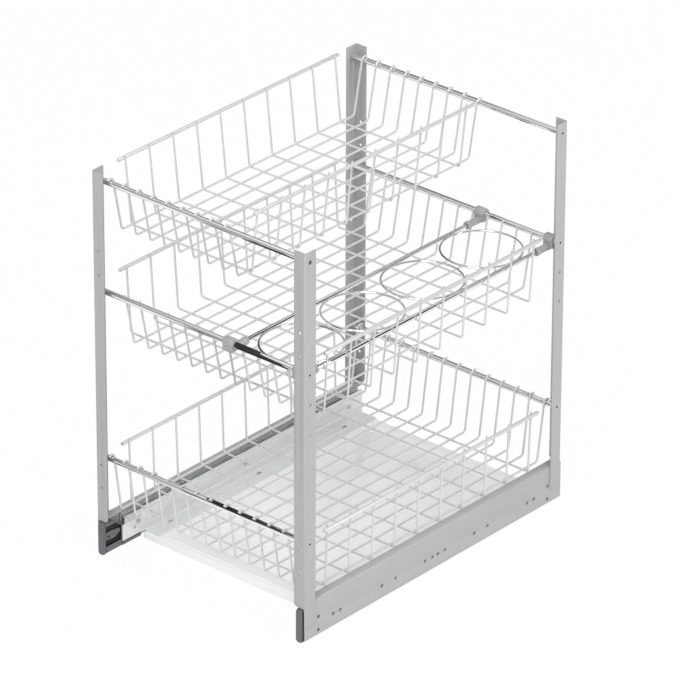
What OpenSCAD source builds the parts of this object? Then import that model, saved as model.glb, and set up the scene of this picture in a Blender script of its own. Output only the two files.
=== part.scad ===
// Pull-out basket frame for a kitchen base cabinet. Four angle posts stand on two side rails,
// chrome crossbars join the posts, and three wire baskets and a bottle rack hang on the bars.
// The frame rolls forward on two ball runners that are bracketed to a base plate.
// X runs across the unit as seen from the front, Y from front to back and Z up. The origin is
// at floor level, in the middle of the width and of the depth. Sizes are in millimetres.

/* [Frame] */
// Width over the four posts
frame_w = 352; // [340:1:420]
// Depth over the posts, from front face to back face
frame_d = 500; // [480:1:560]
// Sheet thickness of the posts and rails
sheet_t = 1.5; // [1.2:0.1:1.8]
// Width of a post's face flange
post_face_w = 17.8; // [15:0.2:18]
// Depth of a post's side flange
post_side_w = 20; // [18:0.5:24]
// Height of the side flange's lower end above the floor
post_foot_z = 22; // [15:0.5:35]
// Height of the post's top above the top bar's axis
post_over_bar = 14; // [8:0.5:30]
// Size of the cut corner at the foot of a face flange
foot_cut = 3; // [1:0.5:5]
// Diameter of the plain holes in the posts
post_hole_d = 4.5; // [3.5:0.1:5]
// Height of the upper pair of front fixing holes, measured to the upper hole
door_hole_high_z = 433.5; // [420:0.5:450]
// Height of the lower pair of front fixing holes, measured to the lower hole
door_hole_low_z = 98; // [80:0.5:110]
// Distance between the two holes of a pair
door_hole_pitch = 33; // [25:0.5:40]
// Distance from a post's outer side to its front fixing holes
door_hole_inset = 8.9; // [8:0.1:10]

/* [Crossbars] */
// Diameter of a crossbar
bar_d = 8; // [7:0.5:9]
// Distance from the post's face to the bar's axis
bar_inset = 9.5; // [9.3:0.1:12]
// Height of the top bars' axis
top_bar_z = 529; // [515:1:600]
// Height of the middle bars' axis
middle_bar_z = 375; // [360:1:400]
// Height of the bottom bars' axis
bottom_bar_z = 139; // [130:1:160]
// Thread diameter of the countersunk bar screws
bar_screw_d = 4; // [3:0.1:5]
// Head diameter of the countersunk bar screws
bar_screw_head_d = 6.4; // [6:0.1:8]
// Length of the bar screws
bar_screw_l = 14; // [8:1:20]

/* [Baskets] */
// Diameter of the basket wire
wire_d = 2.8; // [2.4:0.1:3.1]
// Diameter of the rim rods
rim_d = 5; // [4:0.1:6]
// Bend radius at the wire's centre line
wire_bend_r = 5; // [4:0.5:10]
// Height from the floor wires to the rim rods of the top and middle baskets
basket_depth = 88; // [75:0.5:95]
// Height from the floor wires to the rim rods of the bottom basket
low_basket_depth = 85; // [75:0.5:95]
// Number of cross wires in a basket
cross_wires = 10; // [6:1:14]
// Distance from the first cross wire to the last
cross_span = 396; // [360:1:410]
// Pitch of the long wires
wire_pitch = 24.4; // [22:0.2:30]
// Distance that a wire's cut end stands above the rim rod
tip_rise = 3.5; // [2:0.5:8]
// Distance from a bar's axis to the foot of a long wire, in the top and middle baskets
end_lean = 20.4; // [12:0.2:22]
// Distance from a bar's axis to the foot of a long wire, in the bottom basket
low_end_lean = 17.1; // [12:0.1:22]
// Sideways lean of the side walls of the top basket
wall_lean = 9.8; // [6:0.2:12]
// Sideways lean of the side walls of the middle basket
middle_wall_lean = 6; // [4:0.2:12]
// Sideways lean of the side walls of the bottom basket
low_wall_lean = 3; // [1:0.2:6]
// Gap between a rim rod and the post's side flange
rim_gap = 1; // [0.5:0.1:3]
// Distance from the posts' outer side to the bottom basket's first long wire
low_wire_inset = 17.4; // [16:0.2:24]
// Width of the top basket between its rim rods' centre lines
top_basket_w = 228; // [180:1:300]
// Distance from the top bar's axis down to the top basket's floor
top_basket_drop = 74; // [60:0.5:80]
// Distance from the middle bar's axis down to the middle basket's floor
middle_basket_drop = 73; // [60:0.5:80]
// Gap between the rails and the bottom basket's floor wires
low_basket_gap = 1.1; // [0.5:0.1:6]

/* [Bottle rack] */
// Diameter of the two rack rods
rack_rod_d = 6; // [5:0.5:7]
// Distance between the two rods' centre lines
rack_w = 114.5; // [95:0.5:118]
// Distance from the middle bar's axis down to the rods' axis
rack_drop = 8; // [7.6:0.1:10]
// Gap between the outer rod and the basket's side wall
rack_gap = 1.7; // [0.3:0.1:2]
// Diameter of the ring wire
ring_wire_d = 3; // [2.6:0.1:4]
// Distance between the centres of neighbouring rings
ring_pitch = 115; // [112:0.5:120]
// Width of a rack clip along the bar
clip_w = 15.6; // [12:0.2:19]
// Wall of a rack clip around the bar
clip_wall = 3.4; // [2.5:0.1:3.5]
// Diameter of a clip's stem
clip_stem_d = 11; // [10:0.5:13]
// Reach of a clip's stem from the bar's axis
clip_reach = 30; // [20:0.5:36]

/* [Rails] */
// Height of a rail's lower edge above the floor
rail_z = 2; // [1.5:0.1:4]
// Height of a rail
rail_h = 53; // [51:0.5:60]
// Width of a rail's top flange
rail_flange_w = 13; // [10:0.5:14]
// Width of a rail's bottom lip
rail_lip_w = 7.5; // [4:0.5:7.5]
// Length that a rail runs on behind the posts
rail_overrun = 2.5; // [0.5:0.5:10]
// Diameter of the holes in a rail
rail_hole_d = 5; // [3:0.5:5]
// Height of the row of rail holes
rail_hole_z = 20.3; // [15:0.1:30]

/* [Runners] */
// Full travel of the frame
travel = 480; // [400:5:480]
// Height of the runner's moving channel
runner_h = 45.2; // [42:0.2:46]
// Width of the runner from rail web to bracket
runner_w = 10.2; // [9.8:0.1:11]
// Sheet thickness of the runner channels
runner_t = 1.2; // [1:0.1:1.3]
// Sheet thickness of the ball cages
cage_t = 0.5; // [0.4:0.05:0.6]
// Diameter of the runner balls
ball_d = 3; // [2.6:0.1:3.2]
// Number of balls in one row
balls_per_row = 6; // [3:1:8]
// Height of the bracket's upright leg above the floor
bracket_h = 44; // [38:1:46]
// Width of the bracket's foot on the base plate
bracket_foot_w = 27; // [20:1:40]
// Sheet thickness of the bracket
bracket_t = 1.5; // [1.2:0.1:2]

/* [Base plate] */
// Height of the base plate's top
base_h = 8; // [6.5:0.5:9]
// Sheet thickness of the base plate
base_t = 1.5; // [1:0.1:2]
// Distance from the posts' front face to the base plate's front edge
base_front = 68.4; // [66:0.2:90]
// Diameter of the holes for the cabinet floor screws
floor_hole_d = 5.2; // [4:0.1:7]
// Distance from the base plate's side edge to the floor screw holes
floor_hole_side = 42; // [40:0.5:70]
// Distance from the base plate's front and back edges to the floor screw holes
floor_hole_end = 30; // [20:1:60]

/* [End caps] */
// Height of a cap's head
cap_h = 47; // [44:0.5:47.5]
// Width of a cap's head
cap_w = 10.6; // [9:0.1:10.6]
// Distance that a cap stands out in front of the posts
cap_front = 2.5; // [1.5:0.1:5]
// Depth of a cap's body behind the posts' front face
cap_depth = 31; // [24:0.5:33]

/* [Hidden] */
$fn = 36;

// Clearances and small allowances
fit = 0.05;
gap = 0.3;
weld = 0.3;
eps = 0.1;

// Heights shared by the frame's pieces
post_top = top_bar_z + post_over_bar;
rail_top = rail_z + rail_h;
cap_z = 1;
cap_top = cap_z + cap_h;
bar_heights = [top_bar_z, middle_bar_z, bottom_bar_z];
side_hole_drops = [42, 83];
door_holes = [
    door_hole_high_z, door_hole_high_z - door_hole_pitch,
    door_hole_low_z + door_hole_pitch, door_hole_low_z
];

// Rail holes, as distances from the rail's middle and from its ends
rail_start = sheet_t;
rail_end = frame_d + rail_overrun;
rail_mid = (rail_start + rail_end) / 2;
rail_holes_from_mid = [5.5, 19.5, 77, 103.5];
rail_holes_from_end = [54, 67.5];
rail_pair_from_end = 26;
rail_pair_heights = [9, 28];

// Runner layers, as distances inward from the posts' outer side
web_u = 2 * sheet_t;
cage_room = cage_t + 0.8;
middle_u = web_u + runner_t + cage_room;
fixed_u = middle_u + runner_t + cage_room;
bracket_u = web_u + runner_w;
base_u = bracket_u + bracket_t + 0.6;

// Runner heights, from the moving channel in to the fixed one
row_gap = ball_d + 0.2;
moving_z = rail_z + sheet_t + 1.5;
middle_z = moving_z + runner_t + row_gap;
middle_h = runner_h - 2 * (runner_t + row_gap);
fixed_z = middle_z + runner_t + row_gap;
fixed_h = middle_h - 2 * (runner_t + row_gap);
runner_mid_z = moving_z + runner_h / 2;
outer_row_rise = runner_h / 2 - runner_t - row_gap / 2;
inner_row_rise = middle_h / 2 - runner_t - row_gap / 2;

// Runner lengths, as distances behind the posts' front face
moving_start = cap_depth + 0.5;
moving_end = rail_end - 4;
middle_start = moving_start + 3.5;
middle_end = moving_end - 4.5;
fixed_start = middle_start + 2;
fixed_end = moving_end - 2.5;

// Each cage moves at the mean of the two channels beside it, so it keeps a quarter of the
// travel clear at either end
cage_run = travel / 4 + 2;
outer_cage_start = middle_start + cage_run;
outer_cage_end = moving_end - cage_run;
inner_cage_start = fixed_start + cage_run;
inner_cage_end = middle_end - cage_run;
cage_flange_w = 4.2;
ball_inset = 8;

// Bracket and base plate
bracket_tab_z = 9.6;
bracket_tab_top = 32;
bracket_tab_end = base_front - 2.4;
bracket_tab_hole = [54.5, 20.5];
bracket_end = frame_d - 2;
bracket_screw_u = bracket_u + bracket_foot_w / 2;
bracket_screw_d = 4;
bracket_screw_head_d = 8;
bracket_screw_head_h = 2.2;
bracket_screw_l = 6;
rivet_d = 4;
rivet_head_d = 7;
rivet_head_h = 0.8;
base_end = frame_d - 2;
bead_w = 6;
bead_inset = 8;

// Cap and its insert
cap_u = web_u - 0.2;
cap_inner_u = web_u + 0.1 + 10.3;
cap_body_z = rail_z + sheet_t + gap;
cap_body_top = cap_top - 1;
cap_slope = [17, 13];
cap_tail_h = 4.4;
pocket_front = 0.5;
pocket_back = cap_depth - 1;
pocket_low = cap_z + 11.5;
pocket_high = cap_top - 6.5;
insert_t = 1;
cap_screw_d = 3;
cap_screw_head_d = 5;
cap_screw_y = 6.5;
cap_screw_z = 25.8;

// Baskets
bar_y = frame_d / 2 - bar_inset;
hook_r = (bar_d + wire_d) / 2 + 0.15;
hook_end = 45;
weld_rise = 1;
floor_step = wire_d - weld;
rim_step = (rim_d + wire_d) / 2 - weld;
rim_x = frame_w / 2 - sheet_t - rim_gap - rim_d / 2;
rim_len = cross_span + 20;
long_wire_inset = 5.9;
low_wire_x = frame_w / 2 - low_wire_inset;
low_floor_z = rail_top + low_basket_gap + wire_d / 2;
middle_floor_z = middle_bar_z - middle_basket_drop;
top_floor_z = top_bar_z - top_basket_drop;
top_right_x = top_basket_w - rim_x;
top_corner_left = -rim_x + rim_step + wall_lean;
top_corner_right = top_right_x - rim_step - wall_lean;
middle_corner = rim_x - rim_step - middle_wall_lean;

// Bottle rack. The outer rod lies just inside the middle basket's side wall.
rack_z = middle_bar_z - rack_drop;
rack_rise = rack_z - middle_floor_z;
rack_wall_x = middle_corner + middle_wall_lean * rack_rise / (basket_depth + tip_rise);
rack_outer_x = rack_wall_x - wire_d / 2 - rack_gap - rack_rod_d / 2;
rack_inner_x = rack_outer_x - rack_w;
rack_mid_x = rack_outer_x - rack_w / 2;
ring_count = 4;
ring_r = (rack_w - rack_rod_d - ring_wire_d) / 2 + weld;
clip_head_r = bar_d / 2 + 0.15 + clip_wall;
clip_foot = 6;
clip_socket = 6;

// The middle basket's long wires pass either side of the inner rack clip, one of them close by
middle_wire_low = -middle_corner + long_wire_inset;
middle_wire_high = rack_outer_x - clip_w / 2 - wire_d / 2 - 1;
middle_wire_beside = rack_inner_x - (clip_w + wire_d) / 2 - 0.2;
middle_wire_steps = floor((middle_wire_beside - middle_wire_low) / wire_pitch);
middle_wires = [
    for (x = [middle_wire_beside - middle_wire_steps * wire_pitch : wire_pitch : middle_wire_high]) x
];
top_wires = spread(top_corner_left + long_wire_inset - 1.9, top_corner_right - long_wire_inset + 1.9);
low_wires = spread(-low_wire_x, low_wire_x);

steel_grey = [0.72, 0.72, 0.73];
zinc_grey = [0.78, 0.79, 0.8];
chrome_grey = [0.85, 0.86, 0.88];
wire_grey = [0.83, 0.84, 0.85];
clip_grey = [0.7, 0.7, 0.7];
cap_grey = [0.35, 0.35, 0.36];
insert_black = [0.08, 0.08, 0.08];
plate_white = [0.95, 0.95, 0.95];

// Evenly spaced places from a to b at about the wire pitch
function spread(a, b) =
    let (steps = round((b - a) / wire_pitch))
    [for (i = [0 : steps]) a + (b - a) * i / steps];

// Unit vector along v, and the signed angle from direction a to direction b
function unit(v) = v / norm(v);
function turn(a, b) = atan2(a[0] * b[1] - a[1] * b[0], a * b);

// Places pieces modelled from the left post's outer front edge on the left or right side
module on_side(right = false) {
    mirror([right ? 1 : 0, 0, 0]) translate([-frame_w / 2, -frame_d / 2, 0]) children();
}

// The same for one of the four corners
module on_corner(right, back) {
    mirror([0, back ? 1 : 0, 0]) on_side(right) children();
}

// Straight round rod in the XY plane from p to q
module straight_rod(p, q, d) {
    v = q - p;
    translate([p[0], p[1], 0]) rotate([0, 0, atan2(v[1], v[0])]) rotate([0, 90, 0])
        cylinder(d = d, h = norm(v));
}

// Round bend in the XY plane about c. Its ends run a little way into the straight rods, and it
// is a hair thinner than they are, so that the surfaces cross cleanly.
module bend(c, r, from, to, d) {
    lap = 0.3 / r * 180 / PI;
    translate([c[0], c[1], 0]) rotate([0, 0, from - lap])
        rotate_extrude(angle = to - from + 2 * lap) translate([r, 0]) circle(d = d - 0.03);
}

// Rod along a line of points in the XY plane with a bend of radius r at each inner point
module bent_rod(pts, r, d) {
    last = len(pts) - 1;
    dirs = [for (i = [0 : last - 1]) unit(pts[i + 1] - pts[i])];
    turns = [for (i = [1 : last - 1]) turn(dirs[i - 1], dirs[i])];
    cuts = [0, for (a = turns) r * tan(abs(a) / 2), 0];
    for (i = [0 : last - 1])
        straight_rod(pts[i] + dirs[i] * cuts[i], pts[i + 1] - dirs[i] * cuts[i + 1], d);
    for (i = [1 : last - 1]) {
        inward = [-dirs[i - 1][1], dirs[i - 1][0]] * sign(turns[i - 1]);
        from = atan2(-inward[1], -inward[0]);
        centre = pts[i] - dirs[i - 1] * cuts[i] + inward * r;
        bend(centre, r, min(from, from + turns[i - 1]), max(from, from + turns[i - 1]), d);
    }
}

// Folded channel of width w and height h, open towards +X
module channel(w, h, l, t) {
    difference() {
        cube([w, l, h]);
        translate([t, -1, t]) cube([w, l + 2, h - 2 * t]);
    }
}

// Plate in the XZ plane with round corners, t thick along +Y
module round_plate(w, h, r, t) {
    translate([0, t, 0]) rotate([90, 0, 0]) linear_extrude(t) {
        translate([r, 0]) square([w - 2 * r, h]);
        translate([0, r]) square([w, h - 2 * r]);
        for (x = [r, w - r], z = [r, h - r]) translate([x, z]) circle(r);
    }
}

// Round hole or shank of diameter d along +X from u
module across(u, y, z, d, l) {
    translate([u, y, z]) rotate([0, 90, 0]) cylinder(d = d, h = l);
}

// Angle post with countersunk bar holes, plain side holes and front fixing holes
module post(right, back) {
    face_z = back ? rail_top + gap : cap_top + 1.5;
    sink = (bar_screw_head_d - bar_screw_d) / sheet_t;
    color(steel_grey) on_corner(right, back) difference() {
        union() {
            translate([0, 0, post_foot_z]) cube([sheet_t, post_side_w, post_top - post_foot_z]);
            translate([0, sheet_t, 0]) rotate([90, 0, 0]) linear_extrude(sheet_t) polygon([
                [0, face_z], [post_face_w - foot_cut, face_z],
                [post_face_w, face_z + foot_cut], [post_face_w, post_top], [0, post_top]
            ]);
        }
        for (z = bar_heights) translate([-eps, bar_inset, z]) rotate([0, 90, 0])
            cylinder(d1 = bar_screw_head_d + eps * sink, d2 = bar_screw_d - eps * sink,
                     h = sheet_t + 2 * eps);
        for (drop = side_hole_drops)
            across(-1, bar_inset, middle_bar_z - drop, post_hole_d, sheet_t + 2);
        for (z = door_holes) translate([door_hole_inset, -1, z]) rotate([-90, 0, 0])
            cylinder(d = post_hole_d, h = sheet_t + 2);
    }
}

// Holes through a rail's web and the channel behind it
module rail_holes() {
    for (s = [-1, 1]) {
        for (y = rail_holes_from_mid)
            across(0, rail_mid + s * y, rail_hole_z, rail_hole_d, web_u + runner_t + 0.2);
        for (y = rail_holes_from_end)
            across(0, rail_mid + s * (rail_mid - rail_start - y), rail_hole_z, rail_hole_d,
                   web_u + runner_t + 0.2);
        for (z = rail_pair_heights)
            across(0, rail_mid + s * (rail_mid - rail_start - rail_pair_from_end), z,
                   rail_hole_d, web_u + runner_t + 0.2);
    }
}

// Side rail: web, top flange and bottom lip
module rail(right) {
    rail_l = rail_end - rail_start;
    color(steel_grey) on_side(right) difference() {
        translate([sheet_t, rail_start, rail_z]) union() {
            cube([sheet_t, rail_l, rail_h]);
            translate([0, 0, rail_h - sheet_t]) cube([rail_flange_w, rail_l, sheet_t]);
            cube([rail_lip_w, rail_l, sheet_t]);
        }
        rail_holes();
    }
}

// Runner channel that is fixed inside the rail
module runner_moving(right) {
    color(zinc_grey) on_side(right) difference() {
        translate([web_u, moving_start, moving_z])
            channel(runner_w - gap, runner_h, moving_end - moving_start, runner_t);
        rail_holes();
    }
}

// Runner channel between the moving one and the fixed one
module runner_middle(right) {
    color(zinc_grey) on_side(right) translate([middle_u, middle_start, middle_z])
        channel(bracket_u - runner_t - 0.5 - middle_u, middle_h, middle_end - middle_start,
                runner_t);
}

// Runner channel that is riveted to the bracket, open towards the rail
module runner_fixed(right) {
    w = bracket_u - fixed_u;
    l = fixed_end - fixed_start;
    color(zinc_grey) on_side(right) difference() {
        translate([fixed_u, fixed_start, fixed_z]) difference() {
            cube([w, l, fixed_h]);
            translate([-1, -1, runner_t]) cube([w - runner_t + 1, l + 2, fixed_h - 2 * runner_t]);
        }
        rivet_shanks(rivet_d + 2 * fit);
    }
}

// Places of the rivets that hold the fixed channel to the bracket
module at_rivets() {
    for (y = [fixed_start + 24, (fixed_start + fixed_end) / 2, fixed_end - 24])
        translate([bracket_u, y, runner_mid_z]) children();
}

// Rivet shanks through the fixed channel's web and the bracket
module rivet_shanks(d) {
    at_rivets() translate([-runner_t, 0, 0]) rotate([0, 90, 0])
        cylinder(d = d, h = runner_t + bracket_t);
}

// Rivets on both sides
module runner_rivets() {
    color(zinc_grey) for (right = [false, true]) on_side(right) {
        rivet_shanks(rivet_d);
        at_rivets() rotate([0, 90, 0]) {
            translate([0, 0, bracket_t]) cylinder(d = rivet_head_d, h = rivet_head_h);
            translate([0, 0, -runner_t - 0.5]) cylinder(d = rivet_head_d - 1, h = 0.5);
        }
    }
}

// Places of the balls in one cage
module at_balls(u, start, end, rise) {
    run = end - start - 2 * ball_inset;
    for (i = [0 : balls_per_row - 1], s = [-1, 1])
        translate([u, start + ball_inset + run * i / (balls_per_row - 1), runner_mid_z + s * rise])
            children();
}

// Ball cage: a thin channel whose two flanges hold the balls in round holes
module cage(right, u, start, end, rise, flange_w) {
    color(chrome_grey) on_side(right) difference() {
        translate([u, start, runner_mid_z - rise - cage_t / 2])
            channel(cage_t + flange_w, 2 * rise + cage_t, end - start, cage_t);
        at_balls(u + cage_t + flange_w / 2, start, end, rise) translate([0, 0, -cage_t])
            cylinder(d = ball_d + 2 * fit, h = 2 * cage_t);
    }
}

// Balls of one cage
module balls(right, u, start, end, rise, flange_w) {
    color(chrome_grey) on_side(right)
        at_balls(u + cage_t + flange_w / 2, start, end, rise) sphere(d = ball_d);
}

outer_cage_u = web_u + runner_t + (cage_room - cage_t) / 2;
inner_cage_u = middle_u + runner_t + (cage_room - cage_t) / 2;

module outer_cage(right) {
    cage(right, outer_cage_u, outer_cage_start, outer_cage_end, outer_row_rise, cage_flange_w);
}

module outer_balls(right) {
    balls(right, outer_cage_u, outer_cage_start, outer_cage_end, outer_row_rise, cage_flange_w);
}

module inner_cage(right) {
    cage(right, inner_cage_u, inner_cage_start, inner_cage_end, inner_row_rise, cage_flange_w);
}

module inner_balls(right) {
    balls(right, inner_cage_u, inner_cage_start, inner_cage_end, inner_row_rise, cage_flange_w);
}

// Bracket with an upright leg behind the runner, a foot on the base plate and a front tab
module runner_bracket(right) {
    foot_start = base_front + 4;
    color(zinc_grey) on_side(right) difference() {
        union() {
            translate([bracket_u, moving_start, bracket_tab_z])
                cube([bracket_t, bracket_tab_end - moving_start, bracket_tab_top - bracket_tab_z]);
            translate([bracket_u, bracket_tab_end, base_h])
                cube([bracket_t, bracket_end - bracket_tab_end, bracket_h - base_h]);
            translate([bracket_u, foot_start, base_h])
                cube([bracket_foot_w, bracket_end - foot_start, bracket_t]);
        }
        across(bracket_u - 1, bracket_tab_hole[0], bracket_tab_hole[1], 5, bracket_t + 2);
        rivet_shanks(rivet_d + 2 * fit);
        at_bracket_screws() cylinder(d = bracket_screw_d + 2 * fit, h = 20, center = true);
    }
}

// Places of the screws through the bracket's foot
module at_bracket_screws() {
    for (y = [base_front + 42, (base_front + base_end) / 2, base_end - 48])
        translate([bracket_screw_u, y, base_h + bracket_t]) children();
}

// Pan-head screws that hold both brackets to the base plate
module bracket_screws() {
    color(zinc_grey) for (right = [false, true]) on_side(right) at_bracket_screws()
        difference() {
            union() {
                cylinder(d = bracket_screw_head_d, h = bracket_screw_head_h);
                translate([0, 0, -bracket_screw_l]) cylinder(d = bracket_screw_d, h = bracket_screw_l);
            }
            translate([0, 0, 0.8]) cylinder(d = 3.4, h = bracket_screw_head_h, $fn = 6);
        }
}

// Base plate: a sheet with turned-down edges, a stiffening bead and floor screw holes
module base_plate() {
    x = frame_w / 2 - base_u;
    front = base_front - frame_d / 2;
    back = base_end - frame_d / 2;
    color(plate_white) difference() {
        union() {
            translate([-x, front, base_h - base_t]) cube([2 * x, back - front, base_t]);
            for (y = [front, back - base_t]) translate([-x, y, 0]) cube([2 * x, base_t, base_h]);
            for (s = [-x, x - base_t]) translate([s, front, 0]) cube([base_t, back - front, base_h]);
            translate([-x + bracket_foot_w + 2, front + bead_inset, base_h - eps])
                cube([2 * (x - bracket_foot_w - 2), bead_w, 1 + eps]);
        }
        for (sx = [-1, 1], y = [front + floor_hole_end, back - floor_hole_end])
            translate([sx * (x - floor_hole_side), y, -1]) cylinder(d = floor_hole_d, h = base_h + 2);
        for (right = [false, true]) on_side(right) at_bracket_screws()
            cylinder(d = bracket_screw_d + 2 * fit, h = 2 * (base_t + bracket_t + 1), center = true);
    }
}

// Outline along the cap's side, as (y, z) points, with the upper rear corner cut off. The cut
// runs parallel to the line of cap_slope and the given distance inside it.
function side_outline(front, back, low, high, inside) =
    let (steep = cap_slope[1] / cap_slope[0], cut_y = cap_depth - cap_slope[0] - inside)
    [[front, low], [back, low], [back, cap_body_top - (back - cut_y) * steep],
     [cut_y + (cap_body_top - high) / steep, high], [front, high]];

// Plate with an outline of (y, z) points, t thick along +X
module side_plate(outline, t) {
    rotate([90, 0, 90]) linear_extrude(t) polygon(outline);
}

// Pocket in the cap's inner side, or the insert that fills it
module cap_pocket(play, t) {
    translate([cap_inner_u - insert_t, 0, 0]) side_plate(
        side_outline(pocket_front + play, pocket_back - play, pocket_low + play,
                     pocket_high - play, 2 + 2 * play), t);
}

// Screw through the insert into the cap
module cap_screw(d) {
    across(cap_inner_u - 6, cap_screw_y, cap_screw_z, d, 6.5);
}

// Front end cap: a head with round corners, a body inside the rail and a low tail that shows
// below the bracket's tab
module end_cap(right) {
    tail_l = bracket_tab_end - cap_depth + 1;
    tail_u = sheet_t + rail_lip_w + gap;
    color(cap_grey) on_side(right) difference() {
        union() {
            translate([cap_u, -cap_front, cap_z])
                round_plate(cap_w, cap_h, 4, cap_front + sheet_t - gap);
            translate([web_u + eps, 0, 0]) side_plate(
                side_outline(0, cap_depth, cap_body_z, cap_body_top, 0),
                cap_inner_u - web_u - eps);
            translate([tail_u, cap_depth - 1, cap_body_z])
                cube([bracket_u + bracket_t - tail_u, tail_l, moving_z - gap - cap_body_z]);
            translate([bracket_u, cap_depth - 1, cap_body_z])
                cube([bracket_t, tail_l, cap_tail_h]);
        }
        cap_pocket(0, insert_t + 1);
        cap_screw(cap_screw_d + 2 * fit);
    }
}

// Black insert in the cap's inner side
module cap_insert(right) {
    color(insert_black) on_side(right) difference() {
        cap_pocket(0.1, insert_t);
        cap_screw(cap_screw_d + 2 * fit);
    }
}

// Screws that hold the inserts
module cap_screws() {
    color(zinc_grey) for (right = [false, true]) on_side(right) {
        across(cap_inner_u - 5, cap_screw_y, cap_screw_z, cap_screw_d, 5.1);
        across(cap_inner_u, cap_screw_y, cap_screw_z, cap_screw_head_d, 0.7);
    }
}

// Crossbar between two posts with a threaded hole in each end
module crossbar(z, back) {
    l = frame_w - 2 * sheet_t;
    depth = bar_screw_l - sheet_t + 2;
    color(chrome_grey) translate([-l / 2, (back ? 1 : -1) * bar_y, z]) rotate([0, 90, 0])
        difference() {
            cylinder(d = bar_d, h = l);
            translate([0, 0, -1]) cylinder(d = bar_screw_d + 2 * fit, h = depth + 1);
            translate([0, 0, l - depth]) cylinder(d = bar_screw_d + 2 * fit, h = depth + 1);
        }
}

// Countersunk hex-socket screws in the ends of all crossbars
module bar_screws() {
    head_d = bar_screw_head_d - 2 * fit;
    color(zinc_grey) for (right = [false, true], back = [false, true], z = bar_heights)
        on_corner(right, back) translate([0, bar_inset, z]) rotate([0, 90, 0]) difference() {
            union() {
                cylinder(d1 = head_d, d2 = bar_screw_d - 2 * fit, h = sheet_t);
                translate([0, 0, 0.5]) cylinder(d = bar_screw_d - 2 * fit, h = bar_screw_l - 0.5);
            }
            translate([0, 0, -1]) cylinder(d = bar_screw_d * 0.85, h = 2, $fn = 6);
        }
}

// One long wire at x. A hooked wire passes over the front and back bars, a plain one ends
// where it meets their inner sides.
module long_wire(x, floor_z, bar_z, end_foot, hooked) {
    hook = [-bar_y, bar_z];
    foot = [-bar_y + end_foot, floor_z + floor_step];
    v = foot - hook;
    lift = atan2(v[1], v[0]) + acos(hook_r / norm(v));
    touch = hook + hook_r * [cos(lift), sin(lift)];
    top = hooked ? touch : touch + weld_rise * unit(touch - foot);
    translate([x, 0, 0]) rotate([90, 0, 90]) {
        bent_rod([top, foot, [-foot[0], foot[1]], [-top[0], top[1]]], wire_bend_r, wire_d);
        if (hooked) {
            bend(hook, hook_r, lift, 180 - hook_end, wire_d);
            bend([-hook[0], hook[1]], hook_r, hook_end, 180 - lift, wire_d);
        }
    }
}

// One cross wire at y between two corners, leaning out to its two tips
module cross_wire(y, floor_z, corners, tips, tip_z) {
    translate([0, y, 0]) rotate([90, 0, 0]) bent_rod(
        [[tips[0], tip_z], [corners[0], floor_z], [corners[1], floor_z], [tips[1], tip_z]],
        wire_bend_r, wire_d);
}

// Welded basket: cross wires below, long wires on top of them and two rim rods outside.
// The side walls lean out by side_lean up to their tips, the end walls by end_foot.
module basket(floor_z, bar_z, depth, corners, side_lean, end_foot, wires, hooked) {
    full = depth + tip_rise;
    tips = [corners[0] - side_lean, corners[1] + side_lean];
    rim_lean = side_lean * depth / full;
    color(wire_grey) {
        for (i = [0 : cross_wires - 1])
            cross_wire(-cross_span / 2 + cross_span * i / (cross_wires - 1), floor_z, corners,
                       tips, floor_z + full);
        for (x = wires) long_wire(x, floor_z, bar_z, end_foot, hooked);
        for (x = [corners[0] - rim_lean - rim_step, corners[1] + rim_lean + rim_step])
            translate([x, -rim_len / 2, floor_z + depth]) rotate([-90, 0, 0])
                cylinder(d = rim_d, h = rim_len);
    }
}

module basket_top() {
    basket(top_floor_z, top_bar_z, basket_depth, [top_corner_left, top_corner_right], wall_lean,
           end_lean, top_wires, true);
}

module basket_middle() {
    basket(middle_floor_z, middle_bar_z, basket_depth, [-middle_corner, middle_corner],
           middle_wall_lean, end_lean, middle_wires, false);
}

module basket_bottom() {
    corner = rim_x - rim_step - low_wall_lean;
    basket(low_floor_z, bottom_bar_z, low_basket_depth, [-corner, corner], low_wall_lean,
           low_end_lean, low_wires, true);
}

// The two rods of the bottle rack
module rack_rods() {
    rod_l = 2 * (bar_y - clip_socket - gap);
    color(chrome_grey) for (x = [rack_inner_x, rack_outer_x])
        translate([x, -rod_l / 2, rack_z]) rotate([-90, 0, 0])
            cylinder(d = rack_rod_d, h = rod_l);
}

// One bottle ring, welded between the rods; ring 1 is in front
module rack_ring(number) {
    color(chrome_grey) difference() {
        translate([rack_mid_x, (number - (ring_count + 1) / 2) * ring_pitch, rack_z])
            rotate_extrude($fn = 72) translate([ring_r, 0]) circle(d = ring_wire_d);
        rack_rods();
    }
}

// Plastic clip with its head on the bar and a stem that holds the end of a rack rod
module rack_clip(x, back) {
    color(clip_grey) mirror([0, back ? 1 : 0, 0]) translate([x, -bar_y, middle_bar_z])
        difference() {
            union() {
                translate([-clip_w / 2, 0, 0]) rotate([0, 90, 0])
                    cylinder(r = clip_head_r, h = clip_w);
                translate([-clip_w / 2, -clip_head_r + 1, -rack_drop - clip_foot])
                    cube([clip_w, clip_head_r + clip_socket, rack_drop + clip_foot]);
                translate([0, 0, -rack_drop]) rotate([-90, 0, 0])
                    cylinder(d = clip_stem_d, h = clip_reach);
            }
            translate([-clip_w, 0, 0]) rotate([0, 90, 0]) cylinder(d = bar_d + 0.3, h = 2 * clip_w);
            translate([0, clip_socket, -rack_drop]) rotate([-90, 0, 0])
                cylinder(d = rack_rod_d + 0.3, h = clip_reach);
        }
}

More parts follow.
